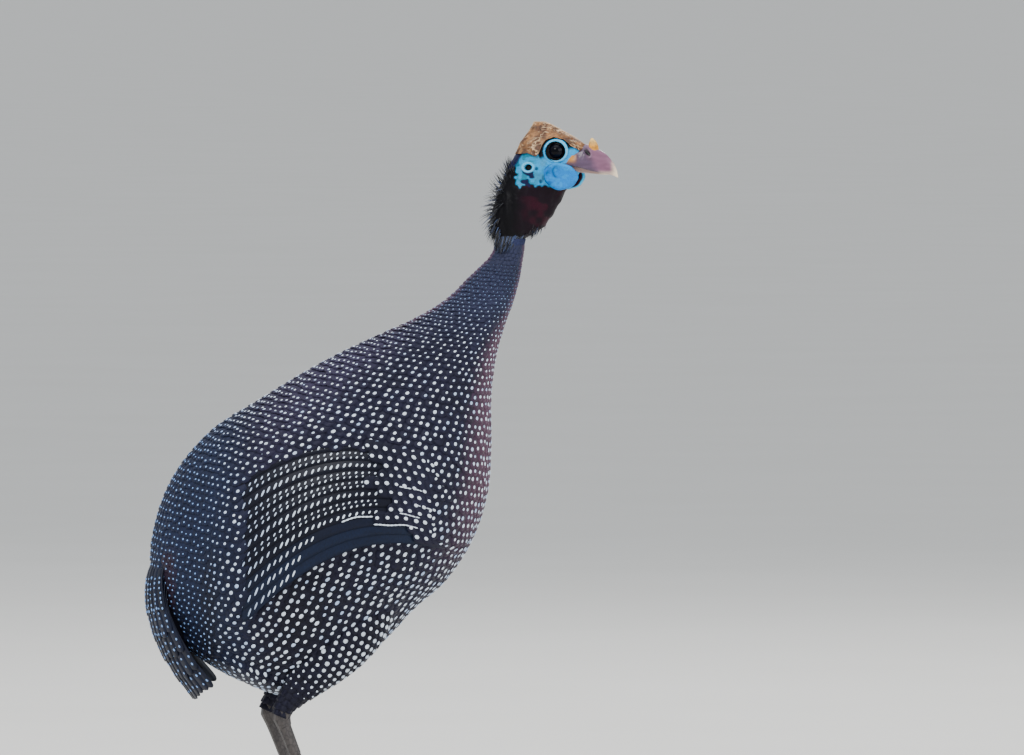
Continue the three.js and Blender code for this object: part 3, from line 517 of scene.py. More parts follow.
def bareRelief(points):
    # Height in mm: pebbles, the creases round the eye, the ear's cup and rim, wrinkles down the throat
    x, z = points[..., 0], points[..., 2]
    eyeAway = np.hypot(x - eyeSettings["x"], z - eyeSettings["z"])
    ear = np.hypot((x - faceMarks["earX"]) * 0.8, z - faceMarks["earZ"])
    height = 0.28 * (mottle(points, 1.6, 3) - 0.5) + 0.5 * (mottle(points, 4.0, 4) - 0.5)
    height += 0.22 * np.sin(eyeAway * 2.6) * smooth(15, 10, eyeAway) * smooth(7, 8.5, eyeAway)
    height -= 1.6 * smooth(7.4, 5.6, eyeAway)
    height += 0.7 * np.exp(-((ear - 3.1) / 0.8) ** 2) - 2.6 * smooth(2.5, 1.4, ear)
    throat = smooth(450, 444, z)
    return height + throat * 0.35 * np.sin(x * 0.85 + 2.5 * mottle(points, 7, 6))


def buildSkin():
    # point = surface - depth·normal over v from the rump to the collar, then up the head to the crown
    s, c = skinSettings, plumageColours
    v = trunkLast + 1 - (trunkLast + 1) * np.linspace(0, 1, s["trunkSteps"])
    place = gridOf(np.minimum(v, trunkLast + 0.985), around(s["around"]))
    point, normal = trunkSurface(place)
    depth = s["coatDepth"] * smooth(0.0, 1.4, place[..., 0])
    tint = blend(c["underDown"], (c["neck"] * s["collarShade"], smooth(0.9, 0.5, place[..., 0])))
    trunkSkin = closedLoft("trunkSkin", point - normal * depth[..., None], underDown, tint,
                           endTints=[c["underDown"], c["neck"]])
    # The head's skin starts inside the collar
    place = gridOf(np.linspace(0, len(headRows) - 1.02, s["headSteps"]), around(s["headAround"]))
    point, normal = headSurface(place)
    straight = levelPoint(headRows, place[..., 0], place[..., 1])
    relief = bareRelief(straight) * smooth(0.1, 1.0, place[..., 0])
    skin = point + normal * relief[..., None]
    ends = skin[[0, -1]].mean(axis=1) - np.array([[0, 0, 2], [0, 0, 0]])
    headSkin = closedLoft("headSkin", skin, bareSkin, bareTint(straight), ends, [skinColours["black"]] * 2)
    return trunkSkin, headSkin


trunkSkin, headSkin = buildSkin()
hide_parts("torso", "neck")
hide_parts("neck_bare", "head")
print("skin done")

# Coat of the trunk and neck: one feather and one spot per place of a quincunx that follows the lie
coatSettings = {
    "rowStep": 6.4, "neckStep": 3.0, "rearStep": 4.7, "overlap": 2.7, "wide": 0.80, "sink": -2.6,
    "firstRow": -0.02, "lastRow": 14.86, "jitter": 0.36, "rootShare": 0.8, "samples": 361,
    "neckRise": 0.45, "spotFrom": 1.3, "spotHeight": 2.62, "spotApart": 0.62, "ringWide": 0.62,
    "ringSink": 0.2}
contourShape = {"stations": [0, 0.3, 0.6, 0.8, 0.93, 1.0], "widths": [0.45, 0.9, 1.0, 0.92, 0.68, 0.3],
                "rises": [0, 1.5, 2.35, 2.75, 2.95, 2.9], "across": 3, "crown": 0.35, "thick": 0.3}
wingSettings = {
    "fromX": 77, "reach": 146, "middle": 0.48, "start": 257.6, "startDrop": 5.25, "mid": 274.4, "midDrop": 7,
    "end": 246.4, "endDrop": 10.15, "bands": 11, "liftUpper": 2.4, "liftLower": 5.2,
    "flankFrom": 24}


def bandZ(i, t):
    # Parabola through the band's heights at its wrist, middle and end
    w = wingSettings
    z0, z1 = w["start"] - w["startDrop"] * i, w["mid"] - w["midDrop"] * i
    z2, m = w["end"] - w["endDrop"] * i, w["middle"]
    return z0 * (t - m) * (t - 1) / m + z1 * t * (t - 1) / (m * (m - 1)) + z2 * t * (t - m) / (1 - m)


def bandGap(t):
    # Height of one band in mm
    return np.abs(bandZ(1, t) - bandZ(0, t))


def wingPlace(points):
    # (t, i) of a point of the flank: the bands' heights are evenly spaced at each t
    w = wingSettings
    t = (w["fromX"] - points[..., 0]) / w["reach"]
    inside = np.clip(t, -0.15, 1.1)
    return t, (bandZ(0, inside) - points[..., 2]) / (bandZ(0, inside) - bandZ(1, inside))


def underWing(points):
    # True where the folded wing hides the trunk
    t, i = wingPlace(points)
    onFlank = abs(points[..., 1]) > wingSettings["flankFrom"]
    return (t > 0.06) & (t < 0.93) & (i > 0.7) & (i < wingSettings["bands"] - 0.4) & onFlank


def wingRise(points):
    # Extra lift in mm of the trunk's feathers that lie over the wing's upper, front and hind edges
    w = wingSettings
    t, i = wingPlace(points)
    full = w["liftUpper"] + (w["liftLower"] - w["liftUpper"]) * np.clip(i, 0, 12) / (w["bands"] - 1) + 0.9
    ramp = smooth(-5.5, -0.6, i) * smooth(11.6, 9.6, i) * smooth(-0.24, 0.05, t) * smooth(1.2, 0.99, t)
    return full * ramp * smooth(14, 26, abs(points[..., 1]))


def coatSurface(place):
    # The trunk, raised where its feathers lie over the wing's edges
    point, normal = trunkSurface(place)
    return point + normal * wingRise(point)[..., None], normal


def coatStep(v, points, angle):
    # Spacing of the quincunx in mm: fine on the neck, back and rear, wide on the flank and breast
    s = coatSettings
    x = points[..., 0]
    back = smooth(0.25, 0.85, np.cos(angle))
    step = s["rowStep"] * (1 - 0.22 * back)
    step = step + (s["rearStep"] - step) * smooth(-62, -100, x)
    return s["neckStep"] + (step - s["neckStep"]) * smooth(1.2, 6.5, v)


def coatPlaces():
    # Rings a row apart along the trunk; every other ring is shifted by half a step
    s = coatSettings
    v, ring, places = s["firstRow"], 0, []
    fineAngle = np.linspace(-math.pi, math.pi, s["samples"])
    while v < s["lastRow"]:
        here, ahead = trunkPoint(v, fineAngle), trunkPoint(v + 0.02, fineAngle)
        step = coatStep(v, here, fineAngle)
        arc = np.linalg.norm(np.diff(here, axis=0), axis=1) / ((step[1:] + step[:-1]) / 2)
        total = np.concatenate([[0], np.cumsum(arc)])
        count = max(8, int(round(total[-1])))
        wanted = ((np.arange(count) + 0.5 * (ring % 2)) / count % 1) * total[-1]
        angle = np.interp(wanted, total, fineAngle)
        speed = np.linalg.norm(ahead - here, axis=1).mean() / 0.02
        arcSpeed = total[-1] / (2 * math.pi)
        scatter = s["jitter"] * (random.random((count, 2)) - 0.5)
        places.append(pack(v + scatter[:, 0] * step.mean() / speed, angle + scatter[:, 1] / arcSpeed))
        v += step.mean() * 0.95 / max(speed, 6)
        ring += 1
    return np.concatenate(places)


def coatTint(v, angle, points):
    # Ground colour by place: slate rear, purple-grey back, mauve breast edge, blue neck, dark belly and side,
    # and a painted pink rim light along the neck's front and back edges
    c = plumageColours
    x, z, cosine = points[..., 0], points[..., 2], np.cos(angle)
    fringe = smooth(6, 2.5, abs(x + 113)) * smooth(200, 190, z) * smooth(150, 160, z)
    colour = blend(
        c["ground"],
        (c["back"], 0.75 * smooth(0.2, 0.85, cosine) * smooth(3, 5.5, v) * smooth(-75, -25, x)),
        (c["slate"], smooth(-40, -85, x) * 0.85),
        (c["neck"], smooth(5.2, 2.6, v)),
        (c["mauve"], 0.8 * smooth(-0.72, -0.97, cosine) * smooth(3, 4.5, v) * smooth(10.5, 7.5, v)),
        # Painted pink rim light: pink laid where the neck's outline faces front and back
        (c["paintedPinkRimLight"], 0.5 * smooth(0.86, 0.98, abs(cosine)) * smooth(5, 3.4, v)),
        (c["dark"], 0.6 * smooth(8.5, 12, v) * smooth(-60, -20, x) * smooth(-1.0, -0.2, cosine)),
        (c["dark"], 0.6 * smooth(-95, -80, x) * smooth(-70, -85, x) * smooth(205, 175, z)),
        (c["rust"], 0.7 * fringe))
    shade = 0.86 + 0.3 * mottle(points, 14, 8) + 0.16 * (random.random(points.shape[:-1]) - 0.5)
    return colour * shade[..., None]


def spotHalf(v, angle, points):
    # Half width of each spot in mm
    x = points[..., 0]
    back = smooth(0.3, 0.85, np.cos(angle))
    half = 1.52 - 0.48 * back
    half = half + (0.78 - half) * smooth(-60, -95, x)
    return 0.28 + (half - 0.28) * smooth(1.4, 7.4, v)


def surfaceSpeeds(pointAt, a, b, stepA=0.01, stepB=0.01):
    # mm travelled per unit of each of the surface's two places
    first = np.linalg.norm(pointAt(a + stepA, b) - pointAt(a - stepA, b), axis=-1) / (2 * stepA)
    second = np.linalg.norm(pointAt(a, b + stepB) - pointAt(a, b - stepB), axis=-1) / (2 * stepB)
    return np.maximum(first, 3), np.maximum(second, 3)


thighRows = [[22, 168, 22, 15], [10, 145, 24, 17], [-6, 124, 20, 15], [-20, 108, 14, 11], [-30, 96, 9, 7.6],
             [-36.4, 88, 6.6, 6], [-39.4, 81, 5.6, 5.2]]
legSettings = {"y": 33, "stride": 5, "featherStep": 5.2, "featherLong": 13, "featherHalf": 4.4,
               "skinDepth": 1.6, "featherTo": 5.75, "skinTo": 5.8, "last": 5.94, "spotTo": 3.8}


def insideThigh(point):
    # (x - centre)·0.85/deep and (y - side·33)/wide within a circle of radius 1, by the height of the point
    rows = np.array(thighRows)[::-1]
    side = np.sign(point[:, 1])
    x, deep, wide = (np.interp(point[:, 2], rows[:, 1], rows[:, k]) for k in (0, 2, 3))
    away = np.hypot((point[:, 0] - x + side * legSettings["stride"]) * 0.85 / deep,
                    (point[:, 1] - side * legSettings["y"]) / wide)
    return (away < 1) & (point[:, 2] < 172)


def buildCoat():
    s, c = coatSettings, plumageColours
    place = coatPlaces()
    place = place[~underWing(trunkPoint(place[:, 0], place[:, 1]))]
    v, angle = place[:, 0], place[:, 1]
    tipPoint = trunkPoint(v, angle)
    step = coatStep(v, tipPoint, angle)
    speedV, speedA = surfaceSpeeds(trunkPoint, v, angle)
    count = len(v)
    long = step * s["overlap"] * (1 + 0.13 * (random.random(count) - 0.5))
    halfWide = step * s["wide"]
    sideways = (random.random(count) - 0.5) * 0.25 * step / speedA
    lengthway = pack(np.minimum(long / speedV, 1.6), sideways)
    crossway = pack(0, np.minimum(halfWide / speedA, 0.6))
    root = place - lengthway * s["rootShare"]
    root[:, 0] = np.maximum(root[:, 0], 0.0)
    # Feathers lie lower on the thin neck
    rise = s["neckRise"] + (1 - s["neckRise"]) * smooth(0.0, 2.0, v)
    lift = s["sink"] * rise + 0.25 * (random.random(count) - 0.5)
    laid = layFeathers(coatSurface, root, lengthway, crossway, lift, contourShape, pack(long, halfWide), rise)
    tint = coatTint(v, angle, tipPoint)
    rootMap = pack((angle / (2 * math.pi)) % 1, np.clip(v / 16, 0, 1))
    # Two pieces: the feathers on the back and those on the breast. Two pieces, so that
    # neither passes 200,000 triangles
    oneFeather = sheetFaces(len(contourShape["stations"]), contourShape["across"])
    onBack = np.cos(angle) > 0.1
    for name, chosen in (("backFeathers", onBack), ("breastFeathers", ~onBack)):
        part = {key: laid[key][chosen] for key in ("points", "local", "lie")}
        part["faces"] = repeated(oneFeather, len(part["points"]), laid["points"][0].size // 3)
        piece = coatMesh(name, [dressed(part, tint[chosen], rootMap[chosen])], contourVane)
    # Spots near the tips, longer on the lower breast and flank
    half = spotHalf(v, angle, tipPoint) * (0.74 + 0.4 * random.random(count))
    longer = 1.12 + 0.42 * smooth(8.2, 11, v) * smooth(0.2, -0.3, np.cos(angle))
    centre = coatSurface(place)[0]
    spotted = (v > s["spotFrom"]) & ~insideThigh(centre)
    spotted &= thinned(centre, s["spotApart"] * step)
    lengthway, crossway = pack(half * longer / speedV, 0), pack(0, half / speedA)
    high = lift + s["spotHeight"] * rise
    v, half, high, place, centre, tipPoint, rootMap, lengthway, crossway = (
        a[spotted] for a in (v, half, high, place, centre, tipPoint, rootMap, lengthway, crossway))
    wider = (1 + s["ringWide"] / half)[:, None]
    domes = laySpots(coatSurface, place, lengthway, crossway, high, 0.42)
    ring = laySpots(coatSurface, place, lengthway * wider, crossway * wider, high - s["ringSink"], 0.28)
    ring["lie"] = ring["points"]
    bluer = np.clip(smooth(-55, -95, tipPoint[:, 0]) + smooth(5, 2, v), 0, 1)
    pale = blend(c["pale"], (c["paleBlue"], bluer), (c["paleBlue"], 0.6 * random.random(len(v)) ** 2))
    pale = pale * ((0.86 + 0.2 * random.random(len(v))) * (0.4 + 0.6 * smooth(1.0, 4.5, v)))[:, None]
    dark = np.tile(c["dark"] * 0.8, (len(v), 1))
    dome = coatMesh("contourSpots", [dressed(domes, pale, rootMap)], whiteBarbs)
    rings = coatMesh("contourSpotRings", [dressed(ring, dark, rootMap)], contourVane)
    print("coat feathers:", count, "and spots:", len(v))
    return centre


contourCentres = buildCoat()

# Folded wings: bands of flight feathers, each tucked under the one above, with coverts over their fronts
vaneSettings = {"span": 1.9, "tuck": 1.5, "edge": 0.45, "from": -0.02, "to": 1.0, "covertStep": 6.3,
                "covertTo": 0.33, "spotStep": 4.3, "spotsFrom": 0.30, "twoRows": (2, 4, 5, 7), "bareBand": 9,
                "slant": 0.4, "covertHalf": 4.6, "frontTo": 0.07,
                "frontApart": 3.4, "covertApart": 3.0, "streakStep": 2.6,
                # white feather edges: band, from t, to t, and whether it lies on the coverts
                "streaks": [(7.9, 0.33, 0.46, False),
                            (8.9, 0.13, 0.31, True), (4.4, 0.10, 0.19, True), (6.2, 0.05, 0.13, True),
                            (7.6, 0.12, 0.2, True)]}
vaneShape = {"stations": list(np.linspace(0, 0.93, 24)) + [0.955, 0.978, 0.992, 1.0],
             "widths": [0.9, 0.97] + [1.0] * 22 + [0.96, 0.84, 0.62, 0.3], "rises": [0.0] * 28, "across": 6,
             "crown": 0.0, "thick": 0.35}
covertShape = {"stations": [0, 0.3, 0.6, 0.8, 0.93, 1.0], "widths": [0.5, 0.9, 1.0, 0.94, 0.7, 0.3],
               "rises": [-0.9, 0.2, 0.7, 1.0, 1.1, 1.05], "across": 5, "crown": 0.3, "thick": 0.3}


def flankPlace(x, z, side):
    # Halves v until the slice through it holds the point; the angle is acos of its share of the half depth
    low, high = np.full(x.shape, 3.0), np.full(x.shape, 14.0)

    def away(v):
        centre, half, _ = trunkSlice(v)
        return (x - centre[..., 0]) * half[..., 1] - (z - centre[..., 1]) * half[..., 0]
    start = np.sign(away(low))
    for _ in range(24):
        middle = (low + high) / 2
        same = np.sign(away(middle)) == start
        low, high = np.where(same, middle, low), np.where(same, high, middle)
    centre, half, _ = trunkSlice(low)
    share = np.sum((pack(x, z) - centre) * half, axis=-1) / np.sum(half ** 2, axis=-1)
    return pack(low, side * np.arccos(np.clip(share, -0.985, 0.985)))


def wingLift(i):
    w = wingSettings
    return w["liftUpper"] + (w["liftLower"] - w["liftUpper"]) * np.clip(i, 0, 12) / (w["bands"] - 1)


def wingSurface(side, band=None):
    # (t, i) on the flank, lifted by the band's height; a vane slopes down by the tuck to its upper edge
    s = vaneSettings

    def surface(place):
        t, i = place[..., 0], place[..., 1]
        x = wingSettings["fromX"] - wingSettings["reach"] * t
        point, normal = trunkSurface(flankPlace(x, bandZ(i, t), side))
        lift = wingLift(i if band is None else band)
        if band is not None:
            lift = lift + s["edge"] - s["tuck"] * (band - i) / s["span"]
        lift = lift * smooth(-0.1, 0.14, t)
        return point + normal * lift[..., None], normal
    return surface


def wingMap(t, i, side):
    return pack(0.25 + 0.25 * side + 0.22 * np.clip(t, 0, 1), 0.1 + 0.07 * (i + 2))


def wingBand(side, band):
    # One long vane, with oblique oval spots in rows on the part of it that shows
    c, s, reach = plumageColours, vaneSettings, wingSettings["reach"]
    surface = wingSurface(side, band)
    end = s["to"] - 0.012 * (band % 3) - 0.004 * band
    root = np.array([[s["from"], band - s["span"] / 2]])
    laid = layFeathers(surface, root, np.array([[end - s["from"], 0.0]]), np.array([[0.0, s["span"] / 2]]),
                       np.array([0.0]), vaneShape, (146.0, 7.0))
    shade = 0.75 + 0.4 * mottle(laid["points"].reshape(-1, 3) * np.array([0.25, 1, 1]), 3.0, 11)
    laid["tint"] = blend(c["flight"], (c["flightSlate"], smooth(8.2, 10, band) * 0.9)) * shade[:, None]
    laid["map"] = patches(wingMap(root[:, 0], root[:, 1], side) + 0.002 * band, laid["local"])
    columns = np.arange(s["spotsFrom"], end - 0.02, s["spotStep"] / reach)
    rows, wide, long = ((0.30, 0.72), 1.0, 1.1) if band in s["twoRows"] else ((0.5,), 1.25, 1.5)
    spots = []
    for row in rows:
        t = columns + 0.006 * (random.random(len(columns)) - 0.5) + 0.012 * row
        if band >= s["bareBand"]:
            t = t[t > 0.6 + 0.03 * (band - s["bareBand"])]
        if len(t) == 0:
            continue
        i = band - row + 0.08 * (random.random(len(t)) - 0.5)
        half = wide * (0.85 + 0.3 * random.random(len(t)))
        tall = half * long * (0.75 + 0.35 * smooth(0.3, 0.75, t))
        spot = laySpots(surface, pack(t, i), pack(-tall * s["slant"] / reach, -tall / bandGap(t)),
                        pack(half * 0.8 / reach, 0), 0, 0.3)
        pale = blend(c["pale"], (c["paleBlue"], 0.55 * smooth(0.6, 1.0, t)))
        pale = pale * (0.88 + 0.2 * random.random((len(t), 1)))
        spots.append(dressed(spot, pale, wingMap(t, i, side)))
    return laid, spots


def wingStreaks(side):
    # White edge streaks, each a chain of short dashes
    s, reach, chains = vaneSettings, wingSettings["reach"], []
    for level, fromT, toT, raised in s["streaks"]:
        t = np.arange(fromT, toT, s["streakStep"] / reach)
        i = level + 0.07 * np.sin(np.arange(len(t)) * 0.8 + level)
        surface = wingSurface(side, None if raised else math.ceil(level))
        chain = laySpots(surface, pack(t, i), pack(1.75 / reach, 0.55 * np.gradient(i)),
                         np.array([[0, 0.095]]), 1.85 if raised else 0.12, 0.3)
        chains.append(dressed(chain, np.tile(plumageColours["pale"], (len(t), 1)), wingMap(t, i, side)))
    return chains


def wingCoverts(side):
    # Coverts in staggered rows over the wing's front, and their spots
    c, s, reach = plumageColours, vaneSettings, wingSettings["reach"]
    step, places = s["covertStep"] / reach, []
    for row, i in enumerate(np.arange(0.5, 10.4, 0.95)):
        end = s["covertTo"] + 0.05 * math.sin(i * 1.7) - 0.006 * i
        places.append(pack(np.arange(0.5 * step * (row % 2), end, step), i))
    place = np.concatenate(places)
    place = place + (random.random(place.shape) - 0.5) * np.array([0.009, 0.16])
    place = place[~((place[:, 1] > 8.4) & (place[:, 0] > 0.16))]
    t, i, count = place[:, 0], place[:, 1], len(place)
    surface = wingSurface(side)
    long = 15.0 + 2 * random.random(count)
    lengthway = pack(long / reach, 0)
    crossway = pack(0, np.maximum(s["covertHalf"] / bandGap(t), 0.62))
    base = 0.7 + 0.35 * smooth(0.3, 0.1, t) + 0.15 * random.random(count)
    laid = layFeathers(surface, place - lengthway * 0.85, lengthway, crossway, base, covertShape,
                       pack(long, s["covertHalf"]))
    at = laid["points"][:, 0, 2, 2]
    shade = 0.85 + 0.3 * mottle(at, 9, 12)
    trunkPlace = flankPlace(wingSettings["fromX"] - reach * t, bandZ(i, t), side)
    tone = coatTint(trunkPlace[:, 0], trunkPlace[:, 1], at)
    tone = blend(tone, (c["flight"], 0.75 * smooth(0.12, 0.3, t))) * shade[:, None]
    rootMap = wingMap(t, i, side)
    # No spot where one of the trunk's feathers already shows its own
    centre = surface(place)[0]
    clear = np.array([(np.linalg.norm(contourCentres - at, axis=1) > s["frontApart"]).all() for at in centre])
    clear |= t > s["frontTo"]
    clear &= thinned(centre, np.full(count, s["covertApart"]))
    half = (1.45 * (0.8 + 0.35 * random.random(count)))[clear]
    domes = laySpots(surface, place[clear], pack(half * 1.15 / reach, 0), pack(0, half / bandGap(t[clear])),
                     base[clear] + 1.0, 0.36)
    pale = c["pale"] * (0.86 + 0.2 * random.random((len(half), 1)))
    return dressed(laid, tone, rootMap), dressed(domes, pale, rootMap[clear])


def buildWings():
    vanes, coverts, spots, covertSpots = [], [], [], []
    for side in (-1, 1):
        for band in range(wingSettings["bands"] + 1):
            vane, onVane = wingBand(side, band)
            vanes.append(vane)
            spots += onVane
        spots += wingStreaks(side)
        covert, domes = wingCoverts(side)
        coverts.append(covert)
        covertSpots.append(domes)
    flight = coatMesh("wingVanes", vanes, flightVane)
    cover = coatMesh("wingCoverts", coverts, contourVane)
    spotted = coatMesh("wingSpots", spots + covertSpots, whiteBarbs)
    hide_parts("wing_right", "wing_left")
    print("wing coverts:", sum(len(c["points"]) for c in coverts))


buildWings()

# Tail: droops over the rump; surface x = line(z) + arch·y²
tailLine = [[-123.8, 186], [-126.2, 168], [-124.8, 150], [-119, 130], [-109, 110], [-95.5, 91]]
tailSettings = {"arch": 0.0105, "stepDown": 0.62, "coreTop": -1.8, "coreFall": 4.5, "coreDeep": 5.5,
                "coreRoot": 12, "coreGrid": (24, 25), "spotColumn": 0.5, "spotFrom": 0.42, "spotTo": 0.97,
                "spotStep": 0.085}
tierKeys = ("count", "rootZ", "tipZ", "rootHalf", "tipHalf", "width", "lift", "round")
tailTiers = [dict(zip(tierKeys, row)) for row in (
    (13, 168, 91, 17, 40, 15, 0.6, 9), (12, 180, 104, 19, 37, 14, 1.5, 8), (11, 186, 118, 19, 34, 13, 2.4, 7),
    (10, 190, 133, 19, 31, 12, 3.2, 6), (10, 194, 150, 19, 29, 11, 3.9, 5))]
tailShape = {"stations": list(np.linspace(0, 0.82, 9)) + [0.9, 0.95, 0.98, 1.0],
             "widths": [0.6, 0.75, 0.86, 0.93, 0.97, 1, 1, 1, 0.99, 0.92, 0.78, 0.58, 0.28],
             "rises": [-6, -3.5, -1.5, -0.5] + [0.0] * 9, "across": 5, "crown": 0.5, "thick": 0.4}
tailCurve = along(tailLine, np.linspace(0, len(tailLine) - 1, 200))[::-1]


def tailPoint(y, z):
    x = np.interp(z, tailCurve[:, 1], tailCurve[:, 0])
    return pack(x + tailSettings["arch"] * y * y, y, z)


def tailCentre(y, z):
    return tailPoint(y, z) * np.array([1, 0.2, 1]) + np.array([60, 0, 0])


tailSurface = surfaceOf(tailPoint, 0.5, 0.5, tailCentre)


def tailSpots(root, lengthway, crossway, lift):
    # Pale blue spots in two columns down each feather of a tier
    s, count, spots = tailSettings, len(root), []
    for column in (-s["spotColumn"], s["spotColumn"]):
        for row in np.arange(s["spotFrom"], s["spotTo"], s["spotStep"]):
            share = row + (0.04 if column > 0 else 0) + 0.03 * (random.random((count, 1)) - 0.5)
            share = np.minimum(share, 0.95)
            across = column + 0.25 * (random.random((count, 1)) - 0.5)
            width = np.interp(share, tailShape["stations"], tailShape["widths"])
            at = root + share * lengthway + across * crossway * width
            half = 0.85 * (0.8 + 0.4 * random.random(count))
            spot = laySpots(tailSurface, at, pack(0, -half * 1.2), pack(half, 0),
                            lift - 0.5 * column ** 2, 0.3)
            tone = plumageColours["paleBlue"] * (0.85 + 0.3 * random.random((count, 1)))
            spots.append(dressed(spot, tone, pack(0.5 + at[:, 0] / 110, (at[:, 1] - 60) / 180)))
    return spots


def underTail():
    # The fleshy root and under-tail down: a closed wedge under the vanes
    s, (rows, columns) = tailSettings, tailSettings["coreGrid"]
    down, across = np.linspace(0, 1, rows)[:, None], np.linspace(-1, 1, columns)[None, :]
    point, normal = tailSurface(pack(across * (22 + 13 * down), 182 - 74 * down))
    top = s["coreTop"] - s["coreFall"] * np.abs(across)
    deep = 0.6 + (s["coreDeep"] + s["coreRoot"] * (1 - down)) * np.sqrt(np.maximum(0, 1 - across ** 4))
    sheet = np.stack([point + normal * top[..., None], point + normal * (top - deep)[..., None]])
    tint = plumageColours["dark"] * (0.7 + 0.6 * mottle(sheet.reshape(-1, 3), 5, 13))[:, None]
    return meshObject("underTailDown", sheet, [sheetFaces(rows, columns)[:, ::-1]], underDown, tint=tint)


def buildTail():
    c, s = plumageColours, tailSettings
    vanes, spots = [], []
    for tier in tailTiers:
        count, halfWide = tier["count"], tier["width"] / 2
        k = np.arange(count)
        place = k / (count - 1) * 2 - 1 + 0.04 * (random.random(count) - 0.5)
        tip = tier["tipZ"] + tier["round"] * place ** 2 + 2.0 * (random.random(count) - 0.5)
        root = pack(place * tier["rootHalf"], tier["rootZ"])
        lengthway = pack(place * (tier["tipHalf"] - tier["rootHalf"]), tip - tier["rootZ"])
        crossway = np.array([[halfWide, 0]])
        lift = tier["lift"] - s["stepDown"] * np.abs(k - count / 2 + 0.3)
        laid = layFeathers(tailSurface, root, lengthway, crossway, lift, tailShape, (70, halfWide))
        tone = blend(c["slate"], (c["dark"], 0.55)) * (0.75 + 0.5 * random.random((count, 1)))
        vanes.append(dressed(laid, tone, pack(0.5 + root[:, 0] / 60, (root[:, 1] - 60) / 180)))
        spots += tailSpots(root, lengthway, crossway, lift)
    made = coatMesh("tailVanes", vanes, flightVane)
    dots = coatMesh("tailSpots", spots, whiteBarbs)
    core = underTail()
    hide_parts("tail")


buildTail()
print("wings and tail done")

# Head furniture: casque, bill, knob, wattles, eyes and lids, all in the head's own frame
casqueRows = [[466, 127.4, 181, 15.4], [474, 130.6, 181, 14.6], [480, 134, 178.6, 12.9],
              [485, 136.9, 170.6, 10.2], [490, 139.7, 162, 6.4], [494, 141.9, 155.2, 3.3],
              [496, 142.7, 150.9, 1.7]]
casqueEdge = np.array([(120, 474), (133, 473.4), (141, 474.2), (147.4, 471.6), (150.4, 474.8), (151, 478.7),
                       (153.9, 483.4), (158.8, 485), (166, 483.4), (171, 478.9), (176.9, 475.4),
                       (179.6, 478)], float)
hornColours = {key: toLinear(code) for key, code in {
    "tan": "#8f6238", "brown": "#502e14", "paleHighlight": "#cfae84", "mauve": "#7a5068", "ivory": "#ead8b8",
    "grey": "#4a3a50", "lower": "#8f7068", "knob": "#d08a20", "knobLitTop": "#e8bd6c", "azure": "#0078c8",
    "azureDeep": "#013c74", "skyPale": "#10a0e0", "maroon": "#2c0a18", "cyan": "#2fb2e0"}.items()}


def casquePart():
    h = np.linspace(0, 1, 90) ** 0.9
    angle = around(220)
    rowZ = np.array(casqueRows)[:, 0]
    toV = lambda z: np.interp(z, rowZ, np.arange(len(rowZ)))
    # The height of the edge at each angle is found by steps, since the edge's x depends on it
    low = np.full(angle.shape, 476.0)
    for _ in range(24):
        x = levelPoint(casqueRows, toV(low), angle)[..., 0]
        low = 0.6 * low + 0.4 * np.interp(x, casqueEdge[:, 0], casqueEdge[:, 1])
    z = low[None] + (rowZ[-1] - low[None]) * h[:, None]
    shell = levelPoint(casqueRows, toV(z), angle)
    outward = unit((shell - shell.mean(axis=1, keepdims=True)) * np.array([0.4, 1, 0.6]))
    ridges = 0.5 - np.abs(mottle(shell * np.array([0.35, 0.8, 0.35]), 0.8, 21) - 0.5)
    relief = 1.5 * (ridges - 0.3) + 0.8 * (mottle(shell, 4, 22) - 0.5) + 0.5 * (mottle(shell, 0.9, 23) - 0.5)
    # Swellings of the fore and hind edge, and a rolled rim at the foot
    relief = relief + 1.3 * smooth(0.5, 0.95, np.cos(angle)) * np.exp(-((z - 487) / 6) ** 2)
    relief = relief + 1.5 * smooth(-0.3, -0.9, np.cos(angle)) * np.exp(-((z - 481) / 5.5) ** 2)
    relief = relief + 0.5 * smooth(0.10, 0.0, h)[:, None]
    fade = smooth(1.0, 0.93, h)[:, None] * 0.8 + 0.2
    shell = shell + outward * (relief * fade)[..., None]
    inner = shell[:1] * np.array([1, 0.84, 1]) + np.array([0, 0, 0.4])
    # Painted highlight: the pale colour on the raised ridges and along the top of the casque
    paleHighlight = smooth(2.6, 0.8, np.abs(shell[..., 1])) * smooth(478, 486, shell[..., 2])
    c = hornColours
    tint = blend(c["brown"],
                 (c["tan"], smooth(0.25, 0.8, mottle(shell * np.array([0.6, 1, 0.6]), 2.4, 24))),
                 (c["paleHighlight"], 0.8 * smooth(0.38, 0.5, ridges) * smooth(0.3, 0.6, mottle(shell, 5, 25))),
                 (c["paleHighlight"], 0.55 * paleHighlight)) * (0.6 + 0.7 * mottle(shell, 1.1, 26))[..., None]
    # The foot's inner ring takes half the horn's colour: painted shade where the casque meets the skin
    return closedLoft("casqueHorn", turned(np.concatenate([inner, shell])), casqueHornFinish,
                      np.concatenate([tint[:1] * 0.5, tint]))


billUpperRows = [[166, 479, 166, 466, 10], [174.8, 478.6, 174.4, 465.2, 8.6],
                 [180.9, 480.2, 180.9, 463.6, 7.2], [188.1, 477.2, 188, 462, 5.6],
                 [194.1, 473.6, 193.2, 460.8, 4.2], [199.1, 467.9, 197.2, 459.8, 2.8],
                 [201.7, 463, 200.6, 458.4, 1.5], [203, 457.6, 202.8, 456.9, 0.5]]
billLowerRows = [[166, 461.6, 166, 465.7, 8.4], [174.4, 460.6, 174.4, 464.9, 7],
                 [180.9, 459.8, 180.9, 463.3, 5.7], [188, 459.2, 188, 461.7, 4.2],
                 [193.2, 458.9, 193.2, 460.5, 2.7], [196.4, 459, 196.4, 459.6, 1]]
nostril = {"x": 182.1, "z": 474.6, "long": 3.0, "tall": 1.35, "tilt": -0.9, "deep": 1.7}


